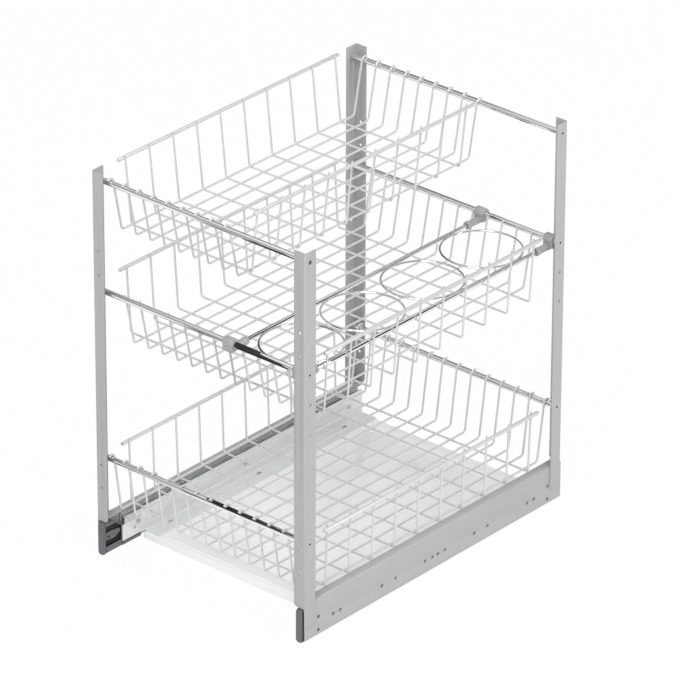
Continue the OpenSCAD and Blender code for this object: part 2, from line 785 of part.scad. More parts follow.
base_plate();
runner_bracket(false);  // runner_bracket_left
runner_bracket(true);  // runner_bracket_right
bracket_screws();
runner_rivets();
runner_fixed(false);  // runner_fixed_left
runner_fixed(true);  // runner_fixed_right
inner_cage(false);  // inner_cage_left
inner_cage(true);  // inner_cage_right
inner_balls(false);  // inner_balls_left
inner_balls(true);  // inner_balls_right
runner_middle(false);  // runner_middle_left
runner_middle(true);  // runner_middle_right
outer_cage(false);  // outer_cage_left
outer_cage(true);  // outer_cage_right
outer_balls(false);  // outer_balls_left
outer_balls(true);  // outer_balls_right
runner_moving(false);  // runner_moving_left
runner_moving(true);  // runner_moving_right
rail(false);  // rail_left
rail(true);  // rail_right
end_cap(false);  // end_cap_left
end_cap(true);  // end_cap_right
cap_insert(false);  // cap_insert_left
cap_insert(true);  // cap_insert_right
cap_screws();
post(false, false);  // post_front_left
post(true, false);  // post_front_right
post(false, true);  // post_back_left
post(true, true);  // post_back_right
crossbar(top_bar_z, false);  // crossbar_top_front
crossbar(top_bar_z, true);  // crossbar_top_back
crossbar(middle_bar_z, false);  // crossbar_middle_front
crossbar(middle_bar_z, true);  // crossbar_middle_back
crossbar(bottom_bar_z, false);  // crossbar_bottom_front
crossbar(bottom_bar_z, true);  // crossbar_bottom_back
bar_screws();
basket_top();
basket_middle();
basket_bottom();
rack_rods();
rack_ring(1);  // rack_ring_1
rack_ring(2);  // rack_ring_2
rack_ring(3);  // rack_ring_3
rack_ring(4);  // rack_ring_4
rack_clip(rack_inner_x, false);  // rack_clip_front_inner
rack_clip(rack_outer_x, false);  // rack_clip_front_outer
rack_clip(rack_inner_x, true);  // rack_clip_back_inner
rack_clip(rack_outer_x, true);  // rack_clip_back_outer
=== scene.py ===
"""Looks of a pull-out basket frame for a kitchen base cabinet.

Angle posts on two rails, chromed crossbars, three welded wire baskets, a bottle rack, ball
runners and a white base plate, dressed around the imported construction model.
"""

import math

import bmesh
import bpy
from bpy.props import FloatProperty, FloatVectorProperty, IntProperty, PointerProperty
from bpy.types import Operator, Panel, PropertyGroup
from mathutils import Matrix, Vector


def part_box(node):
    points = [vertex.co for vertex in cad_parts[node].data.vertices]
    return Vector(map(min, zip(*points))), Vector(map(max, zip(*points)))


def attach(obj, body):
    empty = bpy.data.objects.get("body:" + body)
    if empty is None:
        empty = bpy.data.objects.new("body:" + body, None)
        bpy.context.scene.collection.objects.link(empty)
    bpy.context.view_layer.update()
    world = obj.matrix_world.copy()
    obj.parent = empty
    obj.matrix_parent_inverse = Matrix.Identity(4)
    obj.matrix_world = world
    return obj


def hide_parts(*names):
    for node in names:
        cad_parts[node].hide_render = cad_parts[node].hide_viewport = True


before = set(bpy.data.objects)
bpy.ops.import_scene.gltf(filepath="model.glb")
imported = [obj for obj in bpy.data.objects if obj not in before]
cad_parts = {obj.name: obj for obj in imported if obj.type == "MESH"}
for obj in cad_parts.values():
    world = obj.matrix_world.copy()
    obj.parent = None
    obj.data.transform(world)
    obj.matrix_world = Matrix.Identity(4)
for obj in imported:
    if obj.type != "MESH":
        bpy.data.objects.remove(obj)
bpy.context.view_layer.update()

bl_info = {
    "name": "Pull-out basket frame",
    "version": (1, 0, 0),
    "blender": (4, 5, 0),
    "location": "3D View > Sidebar > Pull-out",
    "description": "Builds the posts, rails, baskets, bottle rack and runners of a pull-out",
    "category": "Object",
}

MM = 0.001

SIDES = ("left", "right")
ENDS = ("front", "back")
LEVELS = ("top", "middle", "bottom")


def node_size(node):
    """Size of a construction node along X, Y and Z."""
    low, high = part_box(node)
    return high - low


def node_centre(node):
    """Middle of a construction node's box."""
    low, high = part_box(node)
    return (low + high) / 2


# Places that come from the frame
POST_LOW, POST_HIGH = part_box("post_front_left")
HALF_W = -POST_LOW.x
HALF_D = -POST_LOW.y
POST_TOP = POST_HIGH.z
BAR_D = node_size("crossbar_top_front").z
BAR_Y = node_centre("crossbar_top_back").y
BAR_Z = {level: node_centre("crossbar_%s_front" % level).z for level in LEVELS}


def length(name, description, millimetres, low=0.0, high=1000.0):
    """A length property given in millimetres and kept in metres."""
    return FloatProperty(name=name, description=description, default=millimetres * MM,
                         min=low * MM, max=high * MM, unit="LENGTH", subtype="DISTANCE",
                         precision=5)


def tint(name, description, colour):
    """A colour property."""
    return FloatVectorProperty(name=name, description=description, default=colour, size=3,
                               min=0.0, max=1.0, subtype="COLOR")


def share(name, description, value):
    """A plain number between 0 and 1."""
    return FloatProperty(name=name, description=description, default=value, min=0.0, max=1.0,
                         subtype="FACTOR")


class SheetSizes(PropertyGroup):
    """Sizes of the folded sheet pieces."""
    thickness: length("Sheet", "Sheet thickness of posts and rails", 1.5)
    bend: length("Bend radius", "Bend radius at the sheet's middle", 1.5)
    edge: length("Edge", "Width of the broken edges", 0.2)
    foot_cut: length("Foot cut", "Cut corner at the foot of a face flange", 3.0)
    hole: length("Post hole", "Diameter of the plain holes in the posts", 4.5)
    sink: length("Countersink", "Diameter of the countersinks at the bar screws", 6.4)
    screw: length("Bar screw", "Thread diameter of the bar screws", 4.0)
    socket: length("Socket", "Width over corners of the bar screws' hex sockets", 3.3)
    socket_depth: length("Socket depth", "Depth of the bar screws' hex sockets", 2.6)
    high_hole: length("High hole", "Height of the highest front fixing hole", 433.5)
    low_hole: length("Low hole", "Height of the lowest front fixing hole", 98.0)
    hole_pitch: length("Hole pitch", "Distance between the holes of a pair", 33.0)
    hole_inset: length("Hole inset", "Distance from the post's side to its front holes", 8.9)
    side_hole_a: length("Side hole A", "Drop of the first side hole below the middle bar", 42.0)
    side_hole_b: length("Side hole B", "Drop of the second side hole below the middle bar", 83.0)
    rail_hole: length("Rail hole", "Diameter of the rail holes", 5.0)
    rail_hole_z: length("Rail hole height", "Height of the row of rail holes", 20.3)
    runner_sheet: length("Runner sheet", "Sheet thickness of the runner channels", 1.2)


class WireSizes(PropertyGroup):
    """Sizes of the baskets."""
    wire: length("Wire", "Diameter of the basket wire", 2.8)
    rim: length("Rim rod", "Diameter of the rim rods", 5.0)
    bend: length("Bend radius", "Bend radius at the wire's centre line", 5.0)
    depth: length("Depth", "Height of the top and middle baskets' rim rods over the floor wires",
                  88.0)
    low_depth: length("Low depth", "Height of the bottom basket's rim rods over the floor wires",
                      85.0)
    wall_lean: length("Wall lean", "Lean of the top basket's side walls", 9.8)
    middle_wall_lean: length("Middle wall lean", "Lean of the middle basket's side walls", 6.0)
    low_wall_lean: length("Low wall lean", "Lean of the bottom basket's side walls", 3.0)
    cross_span: length("Cross span", "Distance from the first cross wire to the last", 396.0)
    rim_extra: length("Rim overrun", "Length of a rim rod over the cross wires' span", 20.0)
    cross_count: IntProperty(name="Cross wires", description="Number of cross wires",
                             default=10, min=2)
    pitch: length("Pitch", "Pitch of the long wires", 24.4)
    tip_rise: length("Tip rise", "Height of the wire tips above the rim rod", 3.5)
    end_lean: length("End lean", "Distance from the bar's axis to the foot of a long wire", 20.4)
    low_end_lean: length("Low end lean", "The same distance in the bottom basket", 17.1)
    weld: length("Weld", "Depth that welded wires sink into each other", 0.3)
    bead: length("Weld bead", "Radius of the weld beads", 1.25)
    first_gap: length("First gap", "Distance from a side bend to the first long wire", 5.9)
    top_gap: length("Top gap", "The same distance in the top basket", 4.0)
    clip_play: length("Clip play", "Gap between a rack clip and the wire beside it", 0.2)
    low_inset: length("Low inset", "Distance from the posts' side to the bottom basket's wires",
                      17.4)
    hook_play: length("Hook play", "Gap between a hook and its bar", 0.15)
    hook_end: FloatProperty(name="Hook end", description="Angle of a hook's cut end about the bar",
                            default=math.radians(135), subtype="ANGLE")
    weld_rise: length("Weld rise", "Height of a welded wire's end above the bar's axis", 1.5)
    sides: IntProperty(name="Sides", description="Sides of a round wire", default=14, min=6)


class RackSizes(PropertyGroup):
    """Sizes of the bottle rack and its clips."""
    ring_wire: length("Ring wire", "Diameter of the ring wire", 3.0)
    ring_count: IntProperty(name="Rings", description="Number of bottle rings", default=4, min=1)
    ring_pitch: length("Ring pitch", "Distance between neighbouring ring centres", 115.0)
    stem: length("Clip stem", "Largest diameter of a clip's stem", 11.0)
    head: length("Clip head", "Radius of a clip's round head", 7.5)
    foot: length("Clip foot", "Reach of a clip's head below the bar's axis", 10.5)


class CapSizes(PropertyGroup):
    """Sizes of the end caps and their inserts."""
    head_depth: length("Head depth", "Depth of a cap's head", 3.7)
    head_corner: length("Head corner", "Radius of the head's corners", 4.0)
    head_edge: length("Head edge", "Width of the head's rounded front edge", 1.0)
    depth: length("Depth", "Distance from the posts' front face to the body's back", 31.0)
    low: length("Underside", "Height of the underside of body and tail", 3.8)
    drop: length("Drop", "Distance from the head's top down to the body's top", 1.0)
    slope_run: length("Slope run", "Depth of the cut upper corner", 17.0)
    slope_drop: length("Slope drop", "Drop of the cut upper corner", 13.0)
    slope_rim: length("Slope rim", "Width of the body's rim along the cut corner", 2.0)
    # The tail is a dark strip of painted shade along the foot of the rail.
    tail: length("Tail", "Height of the tail", 4.4)
    play: length("Play", "Gap round the insert", 0.1)
    rim: length("Rim", "Width of the insert's rim", 0.8)
    pocket: length("Pocket", "Depth of the pocket behind the insert", 2.2)
    edge: length("Edge", "Width of the rounded edges", 0.4)
    screw_head: length("Screw head", "Diameter of the insert screw's head", 3.4)
    screw_socket: length("Screw socket", "Width over corners of the screw's socket", 1.9)


class FinishColours(PropertyGroup):
    """Colours of the finishes."""
    powder: tint("Powder coat", "Grey powder coat of posts and rails", (0.44, 0.44, 0.445))
    # The inside colour is painted shade: the powder coat darkened for the post faces inside the
    # fold, where less light falls.
    inside: tint("Inside", "Thinner powder coat inside the posts' fold", (0.415, 0.415, 0.42))
    zinc: tint("Zinc", "Zinc plating of the runners and brackets", (0.62, 0.63, 0.64))
    chrome: tint("Chrome", "Chrome plating of bars and rack", (0.86, 0.865, 0.87))
    wire: tint("Wire", "Silver finish of the basket wire", (0.74, 0.74, 0.74))
    plate: tint("Base plate", "White enamel of the base plate", (0.985, 0.985, 0.985))
    clip: tint("Clip", "Grey plastic of the clips", (0.4, 0.4, 0.4))
    cap: tint("End cap", "Dark grey plastic of the end caps", (0.135, 0.135, 0.145))
    insert: tint("Insert", "Black plastic of the cap inserts", (0.008, 0.008, 0.009))
    steel: tint("Screw steel", "Plated steel of screws and rivets", (0.6, 0.6, 0.61))
    bracket: tint("Bracket", "Pale zinc plating of the runner brackets", (0.8, 0.805, 0.81))
    # The socket colour is painted shade: near-black for the deep insides of the bar screws'
    # sockets, also given to the cap screws.
    socket: tint("Socket", "Dark inside of the screw sockets", (0.02, 0.02, 0.02))


class StageSizes(PropertyGroup):
    """Camera, floor and lights."""
    lens: FloatProperty(name="Lens", description="Focal length in millimetres",
                        default=338.21, min=1.0)
    camera: FloatVectorProperty(name="Camera", description="Place of the camera", size=3,
                                default=(4.69023, -5.38005, 3.98252), subtype="TRANSLATION")
    azimuth: FloatProperty(name="Azimuth", description="Angle of the view round the object",
                           default=math.radians(41.011), subtype="ANGLE")
    elevation: FloatProperty(name="Elevation", description="Angle of the view above the floor",
                             default=math.radians(27.467), subtype="ANGLE")
    roll: FloatProperty(name="Roll", description="Turn of the camera about its view",
                        default=math.radians(0.185), subtype="ANGLE")
    floor: length("Floor", "Half width of the floor", 20000.0, high=50000.0)
    sky: FloatProperty(name="Sky", description="Strength of the studio sky", default=0.58)
    key: FloatProperty(name="Key light", description="Power of the key light in watts",
                       default=113.0)
    fill: FloatProperty(name="Fill light", description="Power of the fill light in watts",
                        default=76.0)
    whiteness: share("Floor whiteness", "Share of the floor that is seen as plain white", 0.965)


# Meshes

# Place of a rounded edge's middle row, as a share of the edge's width
ROUND_EDGE = 0.3


def rounded(points, radius, step=math.radians(7.5)):
    """Line of points with an arc of the radius at each inner point."""
    out = [Vector(points[0])]
    for before, here, after in zip(points, points[1:], points[2:]):
        here = Vector(here)
        back = (Vector(before) - here).normalized()
        ahead = (Vector(after) - here).normalized()
        angle = math.pi - back.angle(ahead)
        cut = radius * math.tan(angle / 2)
        centre = here + (back + ahead).normalized() * radius / math.cos(angle / 2)
        start = here + back * cut - centre
        axis = ahead.cross(back).normalized()
        count = max(2, math.ceil(angle / step))
        for i in range(count + 1):
            out.append(centre + Matrix.Rotation(angle * i / count, 3, axis) @ start)
    out.append(Vector(points[-1]))
    return out


def arc(centre, radius, start, end, x, step=math.radians(7.5)):
    """Arc in the YZ plane at x, from one angle to the other."""
    count = max(2, math.ceil(abs(end - start) / step))
    angles = [start + (end - start) * i / count for i in range(count + 1)]
    return [Vector((x, centre[0] + radius * math.cos(a), centre[1] + radius * math.sin(a)))
            for a in angles]


def turns(count):
    """Evenly spaced angles round a full circle."""
    return [2 * math.pi * i / count for i in range(count)]


def round_ring(place, radius, z, sides=24):
    """Ring of points on a circle."""
    return [place @ Vector((radius * math.cos(w), radius * math.sin(w), z))
            for w in turns(sides)]


def hex_ring(place, corners, z, sides=24):
    """Ring of points on a hexagon with the given width over corners."""
    step = math.pi / 3
    ring = []
    for w in turns(sides):
        r = corners / 2 * math.cos(step / 2) / math.cos((w % step) - step / 2)
        ring.append(place @ Vector((r * math.cos(w), r * math.sin(w), z)))
    return ring


class Shape:
    """Vertices and faces of a piece, gathered part by part."""

    def __init__(self):
        self.verts = []
        self.faces = []

    def add(self, verts, faces):
        """Takes in vertices, and faces that count from the first of them."""
        base = len(self.verts)
        self.verts += [tuple(v) for v in verts]
        self.faces += [tuple(base + i for i in face) for face in faces]

    def rings(self, rings, closed=False):
        """Skin over rings of equal length, joined round or closed at both ends."""
        n = len(rings[0])
        verts = [v for ring in rings for v in ring]
        faces = []
        last = len(rings) if closed else len(rings) - 1
        for i in range(last):
            a, b = i * n, ((i + 1) % len(rings)) * n
            for j in range(n):
                k = (j + 1) % n
                faces.append((a + j, a + k, b + k, b + j))
        if not closed:
            faces.append(tuple(reversed(range(n))))
            faces.append(tuple(range((len(rings) - 1) * n, len(rings) * n)))
        self.add(verts, faces)

    def tube(self, path, radius, sides=14, closed=False, chamfer=0.25):
        """Round rod along a path, with softly rounded cut ends."""
        path = [Vector(p) for p in path]
        count = len(path)
        tangents = []
        for i in range(count):
            if closed:
                t = path[(i + 1) % count] - path[i - 1]
            else:
                t = path[min(i + 1, count - 1)] - path[max(i - 1, 0)]
            tangents.append(t.normalized())
        side = tangents[0].orthogonal().normalized()
        rings = []
        for i in range(count):
            if i:
                turn = tangents[i - 1].rotation_difference(tangents[i])
                side = turn @ side
            side = (side - tangents[i] * side.dot(tangents[i])).normalized()
            other = tangents[i].cross(side)
            rings.append((path[i], side.copy(), other, tangents[i]))

        def ring(centre, a, b, r):
            return [centre + (a * math.cos(w) + b * math.sin(w)) * r for w in turns(sides)]

        if closed:
            self.rings([ring(c, a, b, radius) for c, a, b, _ in rings], closed=True)
            return
        edge = radius * chamfer
        bow = ROUND_EDGE * edge
        c, a, b, t = rings[0]
        full = [ring(c, a, b, radius - edge), ring(c + t * bow, a, b, radius - bow),
                ring(c + t * edge, a, b, radius)]
        full += [ring(c, a, b, radius) for c, a, b, _ in rings[1:-1]]
        c, a, b, t = rings[-1]
        full += [ring(c - t * edge, a, b, radius), ring(c - t * bow, a, b, radius - bow),
                 ring(c, a, b, radius - edge)]
        self.rings(full)

    def lathe(self, outline, place, sides=32):
        """Body turned from an outline of (radius, height) points about local Z."""
        self.rings([round_ring(place, r, h, sides) for r, h in outline])

    def bead(self, centre, radii, sides=8, rows=5):
        """Small rounded weld bead."""
        rings = []
        for i in range(rows):
            a = math.pi * (i + 0.5) / rows - math.pi / 2
            rings.append([Vector(centre) + Vector((radii[0] * math.cos(a) * math.cos(w),
                                                   radii[1] * math.cos(a) * math.sin(w),
                                                   radii[2] * math.sin(a)))
                          for w in turns(sides)])
        self.rings(rings)

    def block(self, low, high):
        """Plain box, for cutters and for shapes that get their round edges later."""
        x0, y0, z0 = low
        x1, y1, z1 = high
        self.add([(x0, y0, z0), (x1, y0, z0), (x1, y1, z0), (x0, y1, z0),
                  (x0, y0, z1), (x1, y0, z1), (x1, y1, z1), (x0, y1, z1)],
                 [(3, 2, 1, 0), (4, 5, 6, 7), (0, 1, 5, 4), (1, 2, 6, 5), (2, 3, 7, 6),
                  (3, 0, 4, 7)])

    def prism(self, outline, place, height):
        """Closed outline of (x, y) points raised along local Z."""
        low = [place @ Vector((x, y, 0)) for x, y in outline]
        high = [place @ Vector((x, y, height)) for x, y in outline]
        self.rings([low, high])

    def folded_sheet(self, line, thickness, radius, place, run):
        """Sheet folded along a line of (x, y) points at its middle, raised along local Z."""
        middle = rounded([(x, y, 0) for x, y in line], radius, math.radians(15))
        left, right = [], []
        for i, p in enumerate(middle):
            t = (middle[min(i + 1, len(middle) - 1)] - middle[max(i - 1, 0)]).normalized()
            n = Vector((-t.y, t.x, 0)) * thickness / 2
            left.append(p + n)
            right.append(p - n)
        n = len(middle)
        verts, faces = [], []
        for height in (0, run):
            up = Vector((0, 0, height))
            verts += [place @ (p + up) for p in left] + [place @ (p + up) for p in right]
        m = 2 * n
        for i in range(n - 1):
            faces.append((i, i + 1, n + i + 1, n + i))
            faces.append((m + i, m + n + i, m + n + i + 1, m + i + 1))
            faces.append((i, m + i, m + i + 1, i + 1))
            faces.append((n + i, n + i + 1, m + n + i + 1, m + n + i))
        faces.append((0, n, m + n, m))
        faces.append((n - 1, m + n - 1, m + 2 * n - 1, 2 * n - 1))
        self.add(verts, faces)


def put_in_scene(name, data):
    """New object with the data, in the scene."""
    obj = bpy.data.objects.new(name, data)
    bpy.context.scene.collection.objects.link(obj)
    return obj


def mesh_object(name, shape):
    """Object in the scene with the shape's mesh."""
    mesh = bpy.data.meshes.new(name)
    mesh.from_pydata(shape.verts, [], shape.faces)
    mesh.validate()
    bm = bmesh.new()
    bm.from_mesh(mesh)
    bmesh.ops.recalc_face_normals(bm, faces=bm.faces)
    bm.to_mesh(mesh)
    bm.free()
    return put_in_scene(name, mesh)


def bake(obj):
    """Replaces the object's mesh by the one its modifiers make."""
    graph = bpy.context.evaluated_depsgraph_get()
    mesh = bpy.data.meshes.new_from_object(obj.evaluated_get(graph))
    old = obj.data
    obj.modifiers.clear()
    obj.data = mesh
    bpy.data.meshes.remove(old)


def cut(obj, cutter_shape):
    """Cuts the cutter out of the object."""
    cutter = mesh_object("cutter", cutter_shape)
    modifier = obj.modifiers.new("holes", "BOOLEAN")
    modifier.operation = "DIFFERENCE"
    modifier.solver = "EXACT"
    modifier.object = cutter
    bake(obj)
    bpy.data.objects.remove(cutter)


def soften(obj, width, segments=2, angle=32):
    """Rounds the sharp edges of the object."""
    modifier = obj.modifiers.new("edges", "BEVEL")
    modifier.width = width
    modifier.segments = segments
    modifier.limit_method = "ANGLE"
    modifier.angle_limit = math.radians(angle)
    modifier.use_clamp_overlap = True
    bake(obj)


def finish_piece(obj, material, body, nodes=(), smooth=40):
    """Gives the piece its finish and its place in the construction."""
    obj.data.polygons.foreach_set("use_smooth", [True] * len(obj.data.polygons))
    obj.data.set_sharp_from_angle(angle=math.radians(smooth))
    obj.data.materials.clear()
    obj.data.materials.append(material)
    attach(obj, body)
    if nodes:
        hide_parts(*nodes)


def finish_faces(obj, material, direction):
    """Another finish on the faces that look along a direction."""
    obj.data.materials.append(material)
    for polygon in obj.data.polygons:
        if polygon.normal.dot(direction) > 0.9:
            polygon.material_index = len(obj.data.materials) - 1


def side_place(side, end="front"):
    """Matrix from a post's outer corner at floor level, inward along X and Y."""
    sx = 1 if side == "left" else -1
    sy = 1 if end == "front" else -1
    return Matrix.Translation((-HALF_W * sx, -HALF_D * sy, 0)) @ Matrix.Diagonal((sx, sy, 1, 1))


def along_y(start):
    """Matrix that turns local X, Y, Z into world X, Z, Y from a start along Y."""
    return Matrix(((1, 0, 0, 0), (0, 0, 1, start), (0, 1, 0, 0), (0, 0, 0, 1)))


def along_x(u, y, z):
    """Matrix that turns local Z along X at a place."""
    return Matrix.Translation((u, y, z)) @ Matrix.Rotation(math.pi / 2, 4, "Y")


def across(u):
    """Matrix that turns local X, Y, Z into world Y, Z, X from a start along X."""
    return Matrix(((0, 0, 1, u), (1, 0, 0, 0), (0, 1, 0, 0), (0, 0, 0, 1)))


def from_side(node, side):
    """Nearest and farthest distance of a node, inward from the posts' outer side."""
    low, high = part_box(node)
    if side == "left":
        return HALF_W + low.x, HALF_W + high.x
    return HALF_W - high.x, HALF_W - low.x


# Finishes


def group_tree(name, inputs, outputs):
    """New shader node group with named sockets."""
    tree = bpy.data.node_groups.new(name, "ShaderNodeTree")
    for socket, kind, value in inputs:
        item = tree.interface.new_socket(name=socket, in_out="INPUT", socket_type=kind)
        item.default_value = value
    for socket, kind in outputs:
        tree.interface.new_socket(name=socket, in_out="OUTPUT", socket_type=kind)
    enter = tree.nodes.new("NodeGroupInput")
    leave = tree.nodes.new("NodeGroupOutput")
    return tree, enter, leave


def noise(tree, source, scale, detail):
    """Noise texture over the object's own coordinates."""
    node = tree.nodes.new("ShaderNodeTexNoise")
    node.inputs["Detail"].default_value = detail
    tree.links.new(source, node.inputs["Vector"])
    tree.links.new(scale, node.inputs["Scale"])
    return node.outputs["Fac"]


def feed(tree, socket, value):
    """Gives an input its value: a number, or a link from another socket."""
    if isinstance(value, (int, float)):
        socket.default_value = value
    else:
        tree.links.new(value, socket)


def math_node(tree, operation, *values):
    """Math node fed by sockets or numbers."""
    node = tree.nodes.new("ShaderNodeMath")
    node.operation = operation
    for socket, value in zip(node.inputs, values):
        feed(tree, socket, value)
    return node.outputs[0]


def scaled_colour(tree, colour, factor):
    """Colour times a factor."""
    node = tree.nodes.new("ShaderNodeVectorMath")
    node.operation = "SCALE"
    tree.links.new(colour, node.inputs[0])
    tree.links.new(factor, node.inputs["Scale"])
    return node.outputs[0]


def remap(tree, value, low, high, to_low, to_high):
    """Maps a value from one range to another."""
    node = tree.nodes.new("ShaderNodeMapRange")
    tree.links.new(value, node.inputs["Value"])
    for name, number in (("From Min", low), ("From Max", high), ("To Min", to_low),
                         ("To Max", to_high)):
        feed(tree, node.inputs[name], number)
    return node.outputs["Result"]


def around_one(tree, value, low, high, amount):
    """Maps a value to the range from one minus the amount to one plus the amount."""
    return remap(tree, value, low, high, math_node(tree, "SUBTRACT", 1.0, amount),
                 math_node(tree, "ADD", 1.0, amount))


# Lowest and highest common value of the drift that the tone group gives
DRIFT_RANGE = (0.3, 0.7)


def tone_group():
    """Group that lets a colour wander a little, in broad clouds and fine specks."""
    tree, enter, leave = group_tree("tone drift", [
        ("Color", "NodeSocketColor", (0.5, 0.5, 0.5, 1.0)),
        ("Cloud Scale", "NodeSocketFloat", 14.0),
        ("Speck Scale", "NodeSocketFloat", 900.0),
        ("Amount", "NodeSocketFloat", 0.05),
    ], [("Color", "NodeSocketColor"), ("Drift", "NodeSocketFloat")])
    where = tree.nodes.new("ShaderNodeTexCoord").outputs["Object"]
    clouds = noise(tree, where, enter.outputs["Cloud Scale"], 4.0)
    specks = noise(tree, where, enter.outputs["Speck Scale"], 2.0)
    both = math_node(tree, "MULTIPLY_ADD", specks, 0.4, math_node(tree, "MULTIPLY", clouds, 0.6))
    factor = around_one(tree, both, *DRIFT_RANGE, enter.outputs["Amount"])
    tree.links.new(scaled_colour(tree, enter.outputs["Color"], factor), leave.inputs["Color"])
    tree.links.new(both, leave.inputs["Drift"])
    return tree


def grain_group():
    """Group that gives a fine surface relief and a mask of its high spots."""
    tree, enter, leave = group_tree("surface grain", [
        ("Scale", "NodeSocketFloat", 700.0),
        ("Fine Scale", "NodeSocketFloat", 2400.0),
        ("Mix", "NodeSocketFloat", 0.35),
    ], [("Height", "NodeSocketFloat"), ("Mask", "NodeSocketFloat")])
    where = tree.nodes.new("ShaderNodeTexCoord").outputs["Object"]
    broad = noise(tree, where, enter.outputs["Scale"], 2.0)
    fine = noise(tree, where, enter.outputs["Fine Scale"], 1.0)
    rest = math_node(tree, "SUBTRACT", 1.0, enter.outputs["Mix"])
    part = math_node(tree, "MULTIPLY", broad, rest)
    height = math_node(tree, "MULTIPLY_ADD", fine, enter.outputs["Mix"], part)
    tree.links.new(height, leave.inputs["Height"])
    tree.links.new(remap(tree, height, 0.35, 0.65, 0.0, 1.0), leave.inputs["Mask"])
    return tree


def spangle_group():
    """Group with the crystal pattern of hot-dip zinc."""
    tree, enter, leave = group_tree("zinc spangle", [
        ("Scale", "NodeSocketFloat", 260.0),
        ("Color", "NodeSocketColor", (0.6, 0.6, 0.6, 1.0)),
        ("Contrast", "NodeSocketFloat", 0.12),
    ], [("Color", "NodeSocketColor"), ("Roughness", "NodeSocketFloat"),
        ("Height", "NodeSocketFloat")])
    where = tree.nodes.new("ShaderNodeTexCoord").outputs["Object"]
    cells = tree.nodes.new("ShaderNodeTexVoronoi")
    cells.feature = "F1"
    tree.links.new(where, cells.inputs["Vector"])
    tree.links.new(enter.outputs["Scale"], cells.inputs["Scale"])
    grey = tree.nodes.new("ShaderNodeSeparateColor")
    tree.links.new(cells.outputs["Color"], grey.inputs[0])
    cell = grey.outputs[0]
    factor = around_one(tree, cell, 0.0, 1.0, enter.outputs["Contrast"])
    tree.links.new(scaled_colour(tree, enter.outputs["Color"], factor), leave.inputs["Color"])
    tree.links.new(remap(tree, cell, 0.0, 1.0, 0.28, 0.46), leave.inputs["Roughness"])
    tree.links.new(cells.outputs["Distance"], leave.inputs["Height"])
    return tree


def shared_group(name, build):
    """The named node group, built once."""
    return bpy.data.node_groups.get(name) or build()


def new_material(name):
    """Empty material with a Principled shader."""
    material = bpy.data.materials.new(name)
    material.use_nodes = True
    shader = material.node_tree.nodes["Principled BSDF"]
    return material, material.node_tree, shader


def place_group(tree, group, values):
    """Puts a shared group in a material with its own values."""
    node = tree.nodes.new("ShaderNodeGroup")
    node.node_tree = group
    for name, value in values.items():
        node.inputs[name].default_value = value
    return node


def relief(tree, shader, height, strength, distance):
    """Feeds a height into the shader's normal."""
    bump = tree.nodes.new("ShaderNodeBump")
    bump.inputs["Strength"].default_value = strength
    bump.inputs["Distance"].default_value = distance
    tree.links.new(height, bump.inputs["Height"])
    tree.links.new(bump.outputs["Normal"], shader.inputs["Normal"])


def rgba(colour):
    """The colour with full alpha."""
    return (colour[0], colour[1], colour[2], 1.0)


def coated(name, colour, rough, spread, amount, grain_scale, strength, metallic=0.0, coat=0.0,
           specular=0.5):
    """Material with drifting colour, uneven gloss and fine grain."""
    material, tree, shader = new_material(name)
    tone = place_group(tree, shared_group("tone drift", tone_group),
                       {"Color": rgba(colour), "Amount": amount})
    grain = place_group(tree, shared_group("surface grain", grain_group),
                        {"Scale": grain_scale, "Fine Scale": grain_scale * 3.3})
    tree.links.new(tone.outputs["Color"], shader.inputs["Base Color"])
    gloss = remap(tree, tone.outputs["Drift"], *DRIFT_RANGE, rough - spread, rough + spread)
    tree.links.new(gloss, shader.inputs["Roughness"])
    shader.inputs["Metallic"].default_value = metallic
    shader.inputs["Specular IOR Level"].default_value = specular
    shader.inputs["Coat Weight"].default_value = coat
    shader.inputs["Coat Roughness"].default_value = 0.08
    relief(tree, shader, grain.outputs["Height"], strength, 0.0002)
    return material


def zinc_coat(colour):
    """Zinc-plated sheet with a faint crystal pattern."""
    material, tree, shader = new_material("zinc_plated_sheet")
    spangle = place_group(tree, shared_group("zinc spangle", spangle_group),
                          {"Color": rgba(colour)})
    tree.links.new(spangle.outputs["Color"], shader.inputs["Base Color"])
    tree.links.new(spangle.outputs["Roughness"], shader.inputs["Roughness"])
    shader.inputs["Metallic"].default_value = 0.4
    relief(tree, shader, spangle.outputs["Height"], 0.05, 0.0002)
    return material


def make_finishes(colours):
    """All finishes by name."""
    return {
        "powder": coated("grey_powder_coat", colours.powder, 0.42, 0.05, 0.02, 900.0, 0.12),
        # Painted shade: a darker copy of the powder coat for the faces inside the posts' fold.
        "inside": coated("grey_powder_coat_painted_shade", colours.inside, 0.45, 0.05, 0.02, 900.0, 0.12),
        "zinc": zinc_coat(colours.zinc),
        "chrome": coated("polished_chrome", colours.chrome, 0.05, 0.02, 0.01, 300.0, 0.01,
                         metallic=1.0),
        "wire": coated("silver_wire", colours.wire, 0.36, 0.05, 0.03, 1500.0, 0.06, metallic=0.35),
        "plate": coated("white_enamel", colours.plate, 0.16, 0.03, 0.01, 120.0, 0.02, coat=0.4),
        "clip": coated("grey_clip_plastic", colours.clip, 0.38, 0.05, 0.02, 1800.0, 0.1),
        "cap": coated("dark_cap_plastic", colours.cap, 0.42, 0.06, 0.04, 1800.0, 0.12),
        "insert": coated("black_insert_plastic", colours.insert, 0.4, 0.06, 0.05, 1800.0, 0.1,
                         specular=0.2),
        "steel": coated("plated_screw_steel", colours.steel, 0.3, 0.05, 0.03, 1500.0, 0.05,
                        metallic=1.0),
        "bracket": coated("zinc_bracket_sheet", colours.bracket, 0.36, 0.06, 0.035, 500.0, 0.06,
                          metallic=0.2),
        # Painted shade: near-black for the insides of the screw sockets and for the cap screws.
        "socket": coated("painted_socket_shade", colours.socket, 0.6, 0.06, 0.05, 900.0, 0.05),
    }


FINISHES = {}


